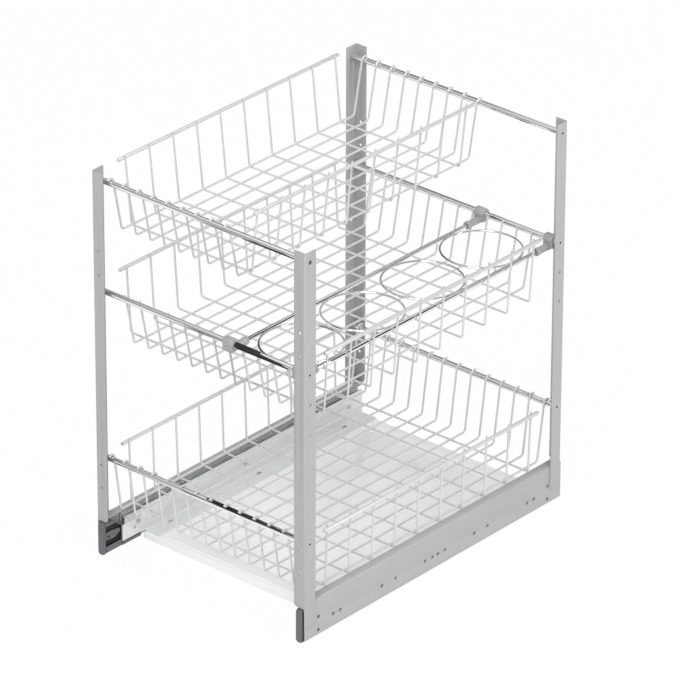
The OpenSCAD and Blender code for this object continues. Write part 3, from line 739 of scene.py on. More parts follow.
def finish(name):
    """One finish, made on first use."""
    if not FINISHES:
        FINISHES.update(make_finishes(bpy.context.scene.pullout_colours))
    return FINISHES[name]


def dress_node(node, material):
    """Gives a construction node a finish without touching its mesh."""
    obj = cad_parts[node]
    if not obj.material_slots:
        obj.data.materials.append(material)
    for slot in obj.material_slots:
        slot.material = material


# Posts and rails

# Gaps between the foot of a face flange and the rail or end cap below it
FOOT_OVER_RAIL = 0.3 * MM
FOOT_OVER_CAP = 1.5 * MM

RAIL_LIP = 6.0 * MM
CHANNEL_EDGE = 0.15 * MM

# Rail holes in mm: single ones by their distance from the rail's middle and from its ends, and
# pairs near the ends by that distance and their heights
HOLES_FROM_MIDDLE = (5.5, 19.5, 77.0, 103.5)
HOLES_FROM_END = (54.0, 67.5)
HOLE_PAIR_FROM_END = 26.0
HOLE_PAIR_HEIGHTS = (9.0, 28.0)


def add_hole(shape, place, y, z, diameter, start, depth, outer=None):
    """Cutter across a web: a round hole, with a countersink where outer is given."""
    here = place @ along_x(start, y, z)
    if outer:
        slope = (outer - diameter) / 2 / depth
        reach = 0.5 * MM
        shape.lathe([(outer / 2 + slope * reach, -reach), (diameter / 2, depth),
                     (diameter / 2, depth + MM)], here)
    else:
        shape.lathe([(diameter / 2, -MM), (diameter / 2, depth + MM)], here)


def build_post(side, end, sizes):
    """Angle post with a round bend, a cut foot, countersinks and plain holes."""
    node = "post_%s_%s" % (end, side)
    low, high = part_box(node)
    t = sizes.thickness
    face_w = high.x - low.x
    side_w = high.y - low.y
    foot_z = low.z
    rail_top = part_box("rail_" + side)[1].z
    cap_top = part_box("end_cap_" + side)[1].z
    face_z = rail_top + FOOT_OVER_RAIL if end == "back" else cap_top + FOOT_OVER_CAP
    place = side_place(side, end)
    shape = Shape()
    line = [(face_w, t / 2), (t / 2, t / 2), (t / 2, side_w)]
    shape.folded_sheet(line, t, sizes.bend, place @ Matrix.Translation((0, 0, foot_z)),
                       POST_TOP - foot_z)
    obj = mesh_object(node + "_sheet", shape)
    foot = Shape()
    overrun, reach = 5 * MM, 7 * MM
    upright = place @ Matrix.Translation((0, overrun, 0)) @ Matrix.Rotation(math.pi / 2, 4, "X")
    far = face_w + overrun
    foot.prism([(t, foot_z - MM), (far, foot_z - MM), (far, face_z + sizes.foot_cut + overrun),
                (face_w, face_z + sizes.foot_cut), (face_w - sizes.foot_cut, face_z),
                (t, face_z)], upright, reach)
    cut(obj, foot)
    holes = Shape()
    bar_inset = HALF_D - BAR_Y
    for level in LEVELS:
        add_hole(holes, place, bar_inset, BAR_Z[level], sizes.screw, 0, t, outer=sizes.sink)
    for drop in (sizes.side_hole_a, sizes.side_hole_b):
        add_hole(holes, place, bar_inset, BAR_Z["middle"] - drop, sizes.hole, 0, t)
    heights = [sizes.high_hole, sizes.high_hole - sizes.hole_pitch,
               sizes.low_hole + sizes.hole_pitch, sizes.low_hole]
    for z in heights:
        here = place @ Matrix.Translation((sizes.hole_inset, 0, z))
        here = here @ Matrix.Rotation(-math.pi / 2, 4, "X")
        holes.lathe([(sizes.hole / 2, -MM), (sizes.hole / 2, t + MM)], here)
    cut(obj, holes)
    soften(obj, sizes.edge)
    finish_piece(obj, finish("powder"), "frame", [node])
    # The faces inside the fold get the darker copy of the powder coat, as painted shade.
    for inward in ((1, 0, 0), (0, 1, 0)):
        finish_faces(obj, finish("inside"), place.to_3x3() @ Vector(inward))


def rail_hole_places():
    """Places of the rail holes as (y, z) pairs, from the frame's front."""
    low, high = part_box("rail_left")
    middle = (low.y + high.y) / 2 + HALF_D
    half = (high.y - low.y) / 2
    sizes = bpy.context.scene.pullout_sheets
    places = []
    for sign in (-1, 1):
        for offset in HOLES_FROM_MIDDLE:
            places.append((middle + sign * offset * MM, sizes.rail_hole_z))
        for offset in HOLES_FROM_END:
            places.append((middle + sign * (half - offset * MM), sizes.rail_hole_z))
        for z in HOLE_PAIR_HEIGHTS:
            places.append((middle + sign * (half - HOLE_PAIR_FROM_END * MM), z * MM))
    return places


def build_channel(node, line_points, thickness, bend, place, start, run, material, body,
                  holes=None, hole_d=0.0, hole_u=(0.0, 0.0)):
    """Folded channel along Y, with round holes through its web where asked."""
    shape = Shape()
    shape.folded_sheet(line_points, thickness, bend, place @ along_y(start), run)
    obj = mesh_object(node + "_sheet", shape)
    if holes:
        cutters = Shape()
        for y, z in holes:
            add_hole(cutters, place, y, z, hole_d, hole_u[0], hole_u[1] - hole_u[0])
        cut(obj, cutters)
    soften(obj, CHANNEL_EDGE)
    finish_piece(obj, finish(material), body, [node])


def channel_line(node, side, thickness, opens="in", lip=None):
    """Middle line of a channel's section: lower flange, web, upper flange."""
    low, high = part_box(node)
    near, far = from_side(node, side)
    h = thickness / 2
    if opens == "in":
        web, tip = near + h, far
    else:
        web, tip = far - h, near
    lower_tip = tip if lip is None else near + thickness + lip
    return [(lower_tip, low.z + h), (web, low.z + h), (web, high.z - h), (tip, high.z - h)]


def build_rail(side, sizes):
    """Side rail with top flange, bottom lip and its rows of holes."""
    node = "rail_" + side
    low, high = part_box(node)
    t = sizes.thickness
    line = channel_line(node, side, t, lip=RAIL_LIP)
    build_channel(node, line, t, sizes.bend, side_place(side), low.y + HALF_D, high.y - low.y,
                  "powder", "frame", rail_hole_places(), sizes.rail_hole,
                  (t, 2 * t))


def build_runner(side, sizes):
    """The three channels of one ball runner."""
    t = sizes.runner_sheet
    for part, body, opens in (("moving", "frame", "in"),
                              ("middle", "middle_channel_" + side, "in"),
                              ("fixed", "base", "out")):
        node = "runner_%s_%s" % (part, side)
        low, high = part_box(node)
        line = channel_line(node, side, t, opens)
        near = from_side(node, side)[0]
        holes = rail_hole_places() if part == "moving" else None
        build_channel(node, line, t, t * 0.8, side_place(side), low.y + HALF_D, high.y - low.y,
                      "zinc", body, holes, sizes.rail_hole,
                      (near, near + t))


# Bars and screws


# Broken edge of a bar's end, play of its threaded bore and the bore's depth
BAR_EDGE = 0.4 * MM
BORE_PLAY = 0.05 * MM
BORE_DEPTH = 14 * MM


def build_crossbar(level, end, sizes):
    """Chromed bar with broken edges and threaded holes in its ends."""
    node = "crossbar_%s_%s" % (level, end)
    low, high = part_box(node)
    r = (high.z - low.z) / 2
    run = high.x - low.x
    edge = BAR_EDGE
    bow = edge * ROUND_EDGE
    bore = sizes.screw / 2 + BORE_PLAY
    shape = Shape()
    place = along_x(low.x, (low.y + high.y) / 2, (low.z + high.z) / 2)
    shape.lathe([(bore, BORE_DEPTH), (bore, edge / 2), (bore + edge / 2, 0), (r - edge, 0),
                 (r - bow, bow), (r, edge), (r, run - edge), (r - bow, run - bow),
                 (r - edge, run), (bore + edge / 2, run), (bore, run - edge / 2),
                 (bore, run - BORE_DEPTH)], place, 48)
    obj = mesh_object(node + "_rod", shape)
    finish_piece(obj, finish("chrome"), "frame", [node])


# Share of a socket's width that its floor keeps in the middle, so that no ring is a point
CORE = 0.02

# Wall of the near-black cup of painted shade that lines a socket, and the depth of its upper edge
CUP_WALL = 0.12 * MM
CUP_TOP = 0.12 * MM

# Tapered tip of a screw
TIP_LENGTH = 0.6 * MM
TIP_CUT = 0.5 * MM


def painted_shade_cup(shape, place, socket, depth):
    """Thin near-black hex cup that lines a socket, as painted shade."""
    outer = socket + 2 * CUP_WALL
    bottom = depth + CUP_WALL
    shape.rings([hex_ring(place, outer * CORE, bottom), hex_ring(place, outer, bottom),
                 hex_ring(place, outer, CUP_TOP), hex_ring(place, socket, CUP_TOP),
                 hex_ring(place, socket, depth), hex_ring(place, socket * CORE, depth * 1.08)])


def shank_rings(place, shank, start, run):
    """Rings of a screw's shank, from its head to its tapered tip."""
    return [round_ring(place, r, z)
            for r, z in ((shank / 2, start), (shank / 2, run - TIP_LENGTH),
                         (shank / 2 - TIP_CUT, run))]


def socket_screw(shape, place, head, depth, socket, socket_depth, shank, run):
    """Countersunk screw along local Z with a hex socket in its flat head."""
    shape.rings([hex_ring(place, socket * CORE, socket_depth),
                 hex_ring(place, socket, socket_depth), hex_ring(place, socket, 0.1 * MM),
                 hex_ring(place, socket + 0.2 * MM, 0),
                 round_ring(place, head / 2 - 0.15 * MM, 0),
                 round_ring(place, head / 2, 0.12 * MM),
                 *shank_rings(place, shank, depth, run)])


# Bar screws: how deep they sit, their play in the countersink and in the bore, the room that
# their sockets leave round and below the near-black cups of painted shade, and their length
BAR_SCREW_SUNK = 0.06 * MM
BAR_SCREW_PLAY = 0.15 * MM
THREAD_PLAY = 0.1 * MM
CUP_ROOM = 0.28 * MM
CUP_FLOOR = 0.3 * MM
BAR_SCREW_RUN = 13.5 * MM


def build_bar_screws(sizes):
    """Countersunk hex-socket screws in the ends of all crossbars, with near-black cups of painted
    shade in their sockets.
    """
    shape, sockets = Shape(), Shape()
    depth = sizes.socket_depth
    for side in SIDES:
        for end in ENDS:
            for level in LEVELS:
                place = side_place(side, end)
                place = place @ along_x(BAR_SCREW_SUNK, HALF_D - BAR_Y, BAR_Z[level])
                socket_screw(shape, place, sizes.sink - BAR_SCREW_PLAY, sizes.thickness,
                             sizes.socket + CUP_ROOM, depth + CUP_FLOOR,
                             sizes.screw - THREAD_PLAY, BAR_SCREW_RUN)
                painted_shade_cup(sockets, place, sizes.socket, depth)
    obj = mesh_object("bar_screws_hex", shape)
    finish_piece(obj, finish("steel"), "frame", ["bar_screws"], smooth=25)
    # Near-black cups in the sockets, painted shade for their deep insides.
    dark = mesh_object("bar_screws_painted_shade_cups", sockets)
    finish_piece(dark, finish("socket"), "frame", smooth=25)


def build_bracket_screws():
    """Pan-head screws through the bracket feet, with hex sockets."""
    low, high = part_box("bracket_screws")
    head, socket, socket_depth, shank = 8.0 * MM, 3.4 * MM, 1.3 * MM, 4.0 * MM
    foot_over_plate = 0.5 * MM
    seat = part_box("base_plate")[1].z + foot_over_plate
    shape = Shape()
    for x in (low.x + head / 2, high.x - head / 2):
        for y in (low.y + head / 2, (low.y + high.y) / 2, high.y - head / 2):
            flip = Matrix.Translation((x, y, high.z)) @ Matrix.Rotation(math.pi, 4, "X")
            pan_screw(shape, flip, head, high.z - seat, socket, socket_depth, shank,
                      high.z - low.z)
    obj = mesh_object("bracket_screws_pan", shape)
    finish_piece(obj, finish("steel"), "base", ["bracket_screws"], smooth=30)


def pan_screw(shape, place, head, height, socket, socket_depth, shank, run):
    """Screw along local Z with a domed head that starts at zero and a hex socket."""
    rings = [hex_ring(place, socket * CORE, socket_depth * 1.2),
             hex_ring(place, socket, socket_depth), hex_ring(place, socket, 0.05 * MM)]
    dome = height * 0.75
    for degrees in (15, 27.5, 40, 52.5, 65, 77.5, 90):
        a = math.radians(degrees)
        r = head / 2 * math.sin(a) ** 0.6
        if r > socket / 2 + 0.1 * MM:
            rings.append(round_ring(place, r, dome * (1 - math.cos(a))))
    rings.append(round_ring(place, head / 2, height))
    shape.rings(rings + shank_rings(place, shank, height, run))


# Baskets


def long_wire_path(x, floor_z, bar_z, end_foot, sizes, hooked):
    """Path of one long wire: from the front bar down, along the floor and up to the back bar."""
    reach = (BAR_D + sizes.wire) / 2 + sizes.hook_play
    bar = Vector((-BAR_Y, bar_z))
    foot = Vector((-BAR_Y + end_foot, floor_z))
    leg = foot - bar
    lift = math.atan2(leg.y, leg.x) + math.acos(reach / leg.length)
    touch = bar + Vector((math.cos(lift), math.sin(lift))) * reach
    if hooked:
        front = arc(bar, reach, sizes.hook_end, lift, x)
    else:
        top = touch + (touch - foot).normalized() * sizes.weld_rise
        front = [Vector((x, top.x, top.y))]
    back = [Vector((p.x, -p.y, p.z)) for p in reversed(front)]
    middle = rounded([front[-1], (x, foot.x, floor_z), (x, -foot.x, floor_z), back[0]], sizes.bend)
    return front[:-1] + middle + back[1:]


def even_places(a, b, pitch):
    """Evenly spaced places from a to b at about the pitch."""
    steps = round((b - a) / pitch)
    return [a + (b - a) * i / steps for i in range(steps + 1)]


def middle_wire_places(corner, sizes):
    """Places of the middle basket's long wires, one of them close beside the inner clip."""
    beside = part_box("rack_clip_front_inner")[0].x - sizes.wire / 2 - sizes.clip_play
    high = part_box("rack_clip_front_outer")[0].x - sizes.wire / 2 - MM
    x = beside - math.floor((beside + corner - sizes.first_gap) / sizes.pitch) * sizes.pitch
    places = []
    while x <= high:
        places.append(x)
        x += sizes.pitch
    return places


# Place of the middle basket's weld beads: gap beside the bar and drop below its axis
BAR_BEAD_GAP = 0.1 * MM
BAR_BEAD_DROP = 0.3 * MM


def build_basket(level, sizes):
    """Welded wire basket: cross wires, long wires, rim rods and weld beads."""
    node = "basket_" + level
    low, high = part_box(node)
    wire_r = sizes.wire / 2
    floor_z = low.z + wire_r
    depth, lean, end_foot = {
        "top": (sizes.depth, sizes.wall_lean, sizes.end_lean),
        "middle": (sizes.depth, sizes.middle_wall_lean, sizes.end_lean),
        "bottom": (sizes.low_depth, sizes.low_wall_lean, sizes.low_end_lean),
    }[level]
    rim_z = floor_z + depth
    tip_z = rim_z + sizes.tip_rise
    rim_step = (sizes.rim + sizes.wire) / 2 - sizes.weld
    rim_lean = lean * depth / (depth + sizes.tip_rise)
    left_rim = low.x + sizes.rim / 2
    right_rim = high.x - sizes.rim / 2
    corners = (left_rim + rim_step + rim_lean, right_rim - rim_step - rim_lean)
    shape = Shape()
    ys = [(-0.5 + i / (sizes.cross_count - 1)) * sizes.cross_span
          for i in range(sizes.cross_count)]
    for y in ys:
        line = [(corners[0] - lean, y, tip_z), (corners[0], y, floor_z),
                (corners[1], y, floor_z), (corners[1] + lean, y, tip_z)]
        shape.tube(rounded(line, sizes.bend), wire_r, sizes.sides)
    if level == "middle":
        xs = middle_wire_places(corners[1], sizes)
    elif level == "top":
        xs = even_places(corners[0] + sizes.top_gap, corners[1] - sizes.top_gap, sizes.pitch)
    else:
        reach = HALF_W - sizes.low_inset
        xs = even_places(-reach, reach, sizes.pitch)
    step = sizes.wire - sizes.weld
    for x in xs:
        path = long_wire_path(x, floor_z + step, BAR_Z[level], end_foot, sizes,
                              level != "middle")
        shape.tube(path, wire_r, sizes.sides)
    rim_run = sizes.cross_span + sizes.rim_extra
    for x in (left_rim, right_rim):
        shape.tube([(x, -rim_run / 2, rim_z), (x, 0, rim_z), (x, rim_run / 2, rim_z)],
                   sizes.rim / 2, 20)
    bead = sizes.bead
    if level == "middle":
        for x in xs:
            for sign in (-1, 1):
                y = sign * (BAR_Y - BAR_D / 2 - BAR_BEAD_GAP)
                shape.bead((x, y, BAR_Z[level] - BAR_BEAD_DROP), (bead, bead * 0.5, bead * 1.1))
    for y in ys:
        for x in xs:
            shape.bead((x, y, floor_z + step / 2), (bead, bead, bead * 0.5))
        for x, inward in ((left_rim, 1), (right_rim, -1)):
            shape.bead((x + inward * sizes.rim / 2, y, rim_z), (bead * 0.5, bead, bead * 1.2))
    obj = mesh_object(node + "_wires", shape)
    finish_piece(obj, finish("wire"), "frame", [node], smooth=50)


# Bottle rack

# Depth that the rings sink into the rods, and their weld beads' place and radii
RING_BITE = 0.3 * MM
RING_BEAD_INSET = 0.1 * MM
RING_BEAD = (0.8 * MM, 3.4 * MM, 1.3 * MM)
RING_POINTS = 96

# Clip head: distances from the bar's axis to its flat front and back, and its rows of points as
# (inset in mm, share of the half width)
CLIP_FRONT = 6.6 * MM
CLIP_BACK = 6.0 * MM
CLIP_ROWS = ((1.3, -1.0), (0.5, -0.965), (0.0, -0.86), (0.0, 0.86), (0.5, 0.965), (1.3, 1.0))
CLIP_POINTS = 64

# Play of a clip round its bar and round its rod
CLIP_ON_BAR = 0.15 * MM
CLIP_ON_ROD = 0.12 * MM


def build_rack(sizes):
    """Two chromed rods with rings welded between them."""
    low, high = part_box("rack_rods")
    rod_r = (high.z - low.z) / 2
    z = (low.z + high.z) / 2
    left, right = low.x + rod_r, high.x - rod_r
    ring_r = (right - left) / 2 - rod_r - sizes.ring_wire / 2 + RING_BITE
    centre_x = (left + right) / 2
    shape = Shape()
    for x in (left, right):
        shape.tube([(x, low.y, z), (x, 0, z), (x, high.y, z)], rod_r, 32, chamfer=0.15)
    for i in range(sizes.ring_count):
        y = (i - (sizes.ring_count - 1) / 2) * sizes.ring_pitch
        ring = [(centre_x + ring_r * math.cos(a), y + ring_r * math.sin(a), z)
                for a in turns(RING_POINTS)]
        shape.tube(ring, sizes.ring_wire / 2, 16, closed=True)
        for x, inward in ((left, 1), (right, -1)):
            shape.bead((x + inward * (rod_r - RING_BEAD_INSET), y, z), RING_BEAD, 12, 7)
    obj = mesh_object("bottle_rack_rods", shape)
    finish_piece(obj, finish("chrome"), "frame",
                 ["rack_rods"] + ["rack_ring_%d" % (i + 1) for i in range(sizes.ring_count)],
                 smooth=50)


def clip_outline(head, front, back, foot):
    """Radius of a clip's head by angle about the bar's axis, in the YZ plane."""
    def radius(a):
        y, z = math.cos(a), math.sin(a)
        reach = head
        if z < 0:
            wall = front if y < 0 else back
            limits = [foot / -z]
            if abs(y) > 1e-6:
                limits.append(wall / abs(y))
            reach = 1 / sum(1 / r ** 9 for r in limits) ** (1 / 9)
            blend = min(1.0, -z * 6)
            reach = head + (reach - head) * blend
        return reach
    return radius


def build_clip(end, where, sizes):
    """Plastic clip: a rounded head on the bar and a stem round the rod, thicker at its end."""
    node = "rack_clip_%s_%s" % (end, where)
    low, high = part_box(node)
    sign = 1 if end == "front" else -1
    bar_y = -BAR_Y * sign
    bar_z = BAR_Z["middle"]
    x = (low.x + high.x) / 2
    width = high.x - low.x
    rod_low, rod_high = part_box("rack_rods")
    rod_z = (rod_low.z + rod_high.z) / 2
    rod_r = (rod_high.z - rod_low.z) / 2
    place = Matrix.Translation((x, bar_y, bar_z)) @ Matrix.Diagonal((1, sign, 1, 1))
    shape = Shape()
    radius = clip_outline(sizes.head, CLIP_FRONT, CLIP_BACK, sizes.foot)
    angles = turns(CLIP_POINTS)
    bore = BAR_D / 2 + CLIP_ON_BAR
    rows = []
    half = width / 2
    for inset, u in CLIP_ROWS:
        rows.append([place @ Vector((u * half, (radius(a) - inset * MM) * math.cos(a),
                                     (radius(a) - inset * MM) * math.sin(a))) for a in angles])
    for u in (1.0, -1.0):
        rows.append([place @ Vector((u * half, bore * math.cos(a), bore * math.sin(a)))
                     for a in angles])
    shape.rings(rows, closed=True)
    stem = place @ Matrix.Translation((0, 0, rod_z - bar_z))
    stem = stem @ Matrix.Rotation(-math.pi / 2, 4, "X")
    tip = high.y - bar_y if end == "front" else bar_y - low.y
    r = sizes.stem / 2
    hole = rod_r + CLIP_ON_ROD
    shape.lathe([(0.3 * MM, 1.0 * MM), (r - 0.4 * MM, 1.0 * MM), (r - 0.4 * MM, 6.5 * MM),
                 (r - 0.7 * MM, 8.0 * MM), (r - 0.9 * MM, tip - 6.5 * MM),
                 (r - 0.5 * MM, tip - 5.6 * MM), (r, tip - 5.0 * MM), (r, tip - 1.0 * MM),
                 (r - 0.35 * MM, tip - 0.25 * MM), (r - 0.9 * MM, tip),
                 (hole + 0.4 * MM, tip), (hole, tip - 0.4 * MM), (hole, 8.0 * MM)], stem, 40)
    obj = mesh_object(node + "_body", shape)
    finish_piece(obj, finish("clip"), "frame", [node], smooth=35)


# End caps

# Outline of the insert's tongue in mm, behind the posts' front face and above the floor
TONGUE = ((1.0, 22.0), (17.0, 20.5), (28.0, 25.5), (28.0, 30.0), (17.0, 32.0), (1.0, 32.5))

# Grooves in the tongue, in mm: their ends, their lower edges and their width
GROOVE_ENDS = (11, 22)
GROOVE_HEIGHTS = (23.6, 26.2, 28.8)
GROOVE_WIDTH = 0.8

# Rows of a cap head's rounded front, as shares of its edge: inset and depth
HEAD_ROWS = ((1.0, 0.0), (0.35, 0.3), (0.0, 1.0), (0.0, None))


def cap_outline(front, back, low, high, inside, body_top, sizes):
    """Outline along a cap's side, as (y, z) points, with the upper rear corner cut off."""
    steep = sizes.slope_drop / sizes.slope_run
    cut_y = sizes.depth - sizes.slope_run - inside
    return [(front, low), (back, low), (back, body_top - (back - cut_y) * steep),
            (cut_y + (body_top - high) / steep, high), (front, high)]


def insert_outline(side, grow, inside, sizes):
    """Outline of an insert, grown on all sides, with its cut corner set inside the body's."""
    low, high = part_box("cap_insert_" + side)
    body_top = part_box("end_cap_" + side)[1].z - sizes.drop
    return cap_outline(low.y + HALF_D - grow, high.y + HALF_D + grow, low.z - grow,
                       high.z + grow, inside, body_top, sizes)


def build_cap_head(node, near, far, place, sizes):
    """Head of a cap, with round corners and a rounded front edge."""
    low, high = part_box(node)
    middle = Vector(((near + far) / 2, (low.z + high.z) / 2))
    rings = []
    for inset, depth in HEAD_ROWS:
        half = Vector((far - near, high.z - low.z)) / 2
        half -= Vector((inset, inset)) * sizes.head_edge
        y = low.y + HALF_D + (sizes.head_depth if depth is None else depth * sizes.head_edge)
        corner = half - Vector((sizes.head_corner, sizes.head_corner))
        ring = []
        for quarter, (sx, sz) in enumerate(((1, 1), (-1, 1), (-1, -1), (1, -1))):
            for step in range(7):
                angle = math.radians(90 * quarter + 15 * step)
                x = middle.x + sx * corner.x + sizes.head_corner * math.cos(angle)
                z = middle.y + sz * corner.y + sizes.head_corner * math.sin(angle)
                ring.append(place @ Vector((x, y, z)))
        rings.append(ring)
    shape = Shape()
    shape.rings(rings)
    return mesh_object(node + "_head", shape)


def build_end_cap(side, sizes):
    """Dark cap with a round-cornered head, a pocketed body and a low tail, a dark strip of painted
    shade along the foot of the rail.
    """
    node = "end_cap_" + side
    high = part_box(node)[1]
    near, tail_far = from_side(node, side)
    inner = from_side("cap_insert_" + side, side)[1]
    place = side_place(side)
    head = build_cap_head(node, near, inner, place, sizes)
    outline = cap_outline(sizes.edge, sizes.depth, sizes.low, high.z - sizes.drop, 0,
                          high.z - sizes.drop, sizes)
    body = Shape()
    body_near = near + 0.3 * MM
    body.prism(outline, place @ across(body_near), inner - body_near)
    block = mesh_object(node + "_body", body)
    pocket = Shape()
    pocket.prism(insert_outline(side, sizes.play, sizes.slope_rim, sizes),
                 place @ across(inner - sizes.pocket), sizes.pocket + MM)
    cut(block, pocket)
    soften(block, sizes.edge)
    # The tail is painted shade: a dark strip of cap plastic along the foot of the rail, where it
    # lies in shade.
    tail = Shape()
    tail_start = sizes.depth - 2 * sizes.edge
    tail.prism([(tail_start, sizes.low), (high.y + HALF_D, sizes.low),
                (high.y + HALF_D, sizes.low + sizes.tail), (tail_start, sizes.low + sizes.tail)],
               place @ across(inner - MM), tail_far - inner + MM)
    painted_shade_strip = mesh_object(node + "_tail", tail)
    soften(painted_shade_strip, sizes.edge)
    finish_piece(head, finish("cap"), "frame", [node], smooth=35)
    # The head's outer side face takes the black insert finish as painted shade.
    finish_faces(head, finish("insert"), place.to_3x3() @ Vector((-1, 0, 0)))
    for extra in (block, painted_shade_strip):
        finish_piece(extra, finish("cap"), "frame", smooth=35)


def build_cap_insert(side, sizes):
    """Black insert with a raised rim and a grey tongue with grooves."""
    node = "cap_insert_" + side
    near, far = from_side(node, side)
    place = side_place(side)
    inside = sizes.slope_rim + 2 * sizes.play
    base = Shape()
    base.prism(insert_outline(side, 0, inside, sizes), place @ across(near - MM), far - near + MM)
    obj = mesh_object(node + "_frame", base)
    hollow = Shape()
    hollow.prism(insert_outline(side, -sizes.rim, inside + 1.6 * sizes.rim, sizes),
                 place @ across(near - 0.5 * MM), far - near + MM)
    cut(obj, hollow)
    soften(obj, sizes.edge / 2)
    finish_piece(obj, finish("insert"), "frame", [node], smooth=35)
    tongue = Shape()
    tongue.prism([(y * MM, z * MM) for y, z in TONGUE], place @ across(near - 0.8 * MM),
                 far - near + 0.5 * MM)
    bar = mesh_object(node + "_tongue", tongue)
    grooves = Shape()
    start, stop = GROOVE_ENDS
    for z in GROOVE_HEIGHTS:
        top = z + GROOVE_WIDTH
        grooves.prism([(start * MM, z * MM), (stop * MM, z * MM), (stop * MM, top * MM),
                       (start * MM, top * MM)], place @ across(far - 0.6 * MM), MM)
    cut(bar, grooves)
    soften(bar, sizes.edge / 2)
    finish_piece(bar, finish("cap"), "frame", smooth=35)


def build_cap_screws(sizes):
    """Small screws that hold the cap inserts, near-black as painted shade of their holes."""
    low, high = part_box("cap_screws")
    y = (low.y + high.y) / 2 + HALF_D
    z = (low.z + high.z) / 2
    shape = Shape()
    for side in SIDES:
        top = inner_face_of_screw(side)
        flip = side_place(side) @ Matrix.Translation((top, y, z))
        flip = flip @ Matrix.Rotation(-math.pi / 2, 4, "Y")
        pan_screw(shape, flip, sizes.screw_head, 0.7 * MM, sizes.screw_socket, 0.5 * MM,
                  2.6 * MM, 5.5 * MM)
    obj = mesh_object("cap_screws_pan", shape)
    # The cap screws take the near-black socket finish as painted shade, so they show as dark
    # holes.
    finish_piece(obj, finish("socket"), "frame", ["cap_screws"], smooth=30)


def inner_face_of_screw(side):
    """Distance inward from the posts' outer side to the face of a cap screw's head."""
    verts = [v.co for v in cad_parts["cap_screws"].data.vertices]
    if side == "left":
        return HALF_W + max(v.x for v in verts if v.x < 0)
    return HALF_W - min(v.x for v in verts if v.x > 0)


# Base plate, brackets, runner inner parts

PLATE_TOP = 8.0 * MM
PLATE_SHEET = 1.5 * MM
PLATE_EDGE = 2.2 * MM
PLATE_BREAK = 0.25 * MM
BRACKET_EDGE = 0.25 * MM

# Screw holes: radius, distances from the plate's sides and ends, and heights of their cutters
PLATE_HOLE_R = 2.6 * MM
PLATE_HOLE_INSET = (42 * MM, 30 * MM)
PLATE_CUTTER = (3 * MM, 12 * MM)

# Stiffening bead: distances from the plate's sides and front, half width, height and depth of
# its foot in the plate
BEAD_INSET = (29 * MM, 11 * MM)
BEAD_HALF_WIDTH = 3 * MM
BEAD_HEIGHT = 1.25 * MM
BEAD_SUNK = 0.3 * MM
BEAD_ROWS = 24


def build_base_plate():
    """White plate with turned-down round edges, a stiffening bead and screw holes."""
    low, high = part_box("base_plate")
    top = PLATE_TOP
    bm = bmesh.new()
    bmesh.ops.create_cube(bm, size=1.0)
    size = Vector((high.x - low.x, high.y - low.y, top))
    centre = Vector(((high.x + low.x) / 2, (high.y + low.y) / 2, top / 2))
    for v in bm.verts:
        v.co = Vector((v.co.x * size.x, v.co.y * size.y, v.co.z * size.z)) + centre
    bottom = [f for f in bm.faces if f.normal.z < -0.5]
    bmesh.ops.delete(bm, geom=bottom, context="FACES_ONLY")
    round_edges = [e for e in bm.edges if not e.is_boundary]
    bmesh.ops.bevel(bm, geom=round_edges, offset=PLATE_EDGE, segments=5, profile=0.5,
                    affect="EDGES")
    mesh = bpy.data.meshes.new("base_plate_sheet")
    bm.to_mesh(mesh)
    bm.free()
    obj = put_in_scene("base_plate_sheet", mesh)
    solid = obj.modifiers.new("sheet", "SOLIDIFY")
    solid.thickness = PLATE_SHEET
    solid.offset = -1
    bake(obj)
    holes = Shape()
    side_inset, end_inset = PLATE_HOLE_INSET
    for sx in (-1, 1):
        for y in (low.y + end_inset, high.y - end_inset):
            place = Matrix.Translation((sx * (high.x - side_inset), y, 0))
            holes.lathe([(PLATE_HOLE_R, z) for z in PLATE_CUTTER], place)
    cut(obj, holes)
    soften(obj, PLATE_BREAK)
    finish_piece(obj, finish("plate"), "base", ["base_plate"], smooth=40)
    bead = Shape()
    run = high.x - BEAD_INSET[0]
    y_mid = low.y + BEAD_INSET[1]
    rows = []
    for k in range(BEAD_ROWS + 1):
        u = -1 + 2 * k / BEAD_ROWS
        taper = max(math.sqrt(max(0.0, 1 - abs(u) ** 40)), 0.05)
        rows.append([Vector((u * run, y_mid + BEAD_HALF_WIDTH * math.cos(a) * taper,
                             top - BEAD_SUNK + BEAD_HEIGHT * math.sin(a) * taper))
                     for a in (math.pi * j / 12 for j in range(13))])
    bead.rings(rows)
    ridge = mesh_object("base_plate_bead", bead)
    finish_piece(ridge, finish("plate"), "base", smooth=60)


def dress_runner_parts():
    """Finishes of the construction nodes that show as they are."""
    for side in SIDES:
        for part in ("inner", "outer"):
            dress_node("%s_cage_%s" % (part, side), finish("zinc"))
            dress_node("%s_balls_%s" % (part, side), finish("steel"))
    dress_node("runner_rivets", finish("steel"))


def build_bracket(side):
    """Bracket with round bends and broken edges, made from the construction node."""
    node = "runner_bracket_" + side
    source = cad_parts[node]
    bm = bmesh.new()
    bm.from_mesh(source.data)
    bmesh.ops.remove_doubles(bm, verts=bm.verts, dist=1e-6)
    bmesh.ops.dissolve_limit(bm, angle_limit=math.radians(1), verts=bm.verts, edges=bm.edges)
    mesh = bpy.data.meshes.new(node + "_sheet")
    bm.to_mesh(mesh)
    bm.free()
    obj = put_in_scene(node + "_sheet", mesh)
    soften(obj, BRACKET_EDGE)
    finish_piece(obj, finish("bracket"), "base", [node], smooth=35)


# Stage


# Places and sizes of the two soft lights, and the point that they look at, in metres
KEY_PLACE = (1.5, -3.5, 4.0)
KEY_SIZE = (3.0, 3.0)
FILL_PLACE = (4.5, 0.5, 2.5)
FILL_SIZE = (3.0, 2.0)
LIGHT_TARGET = (0, 0, 0.3)

FLOOR_PAINT = 0.93

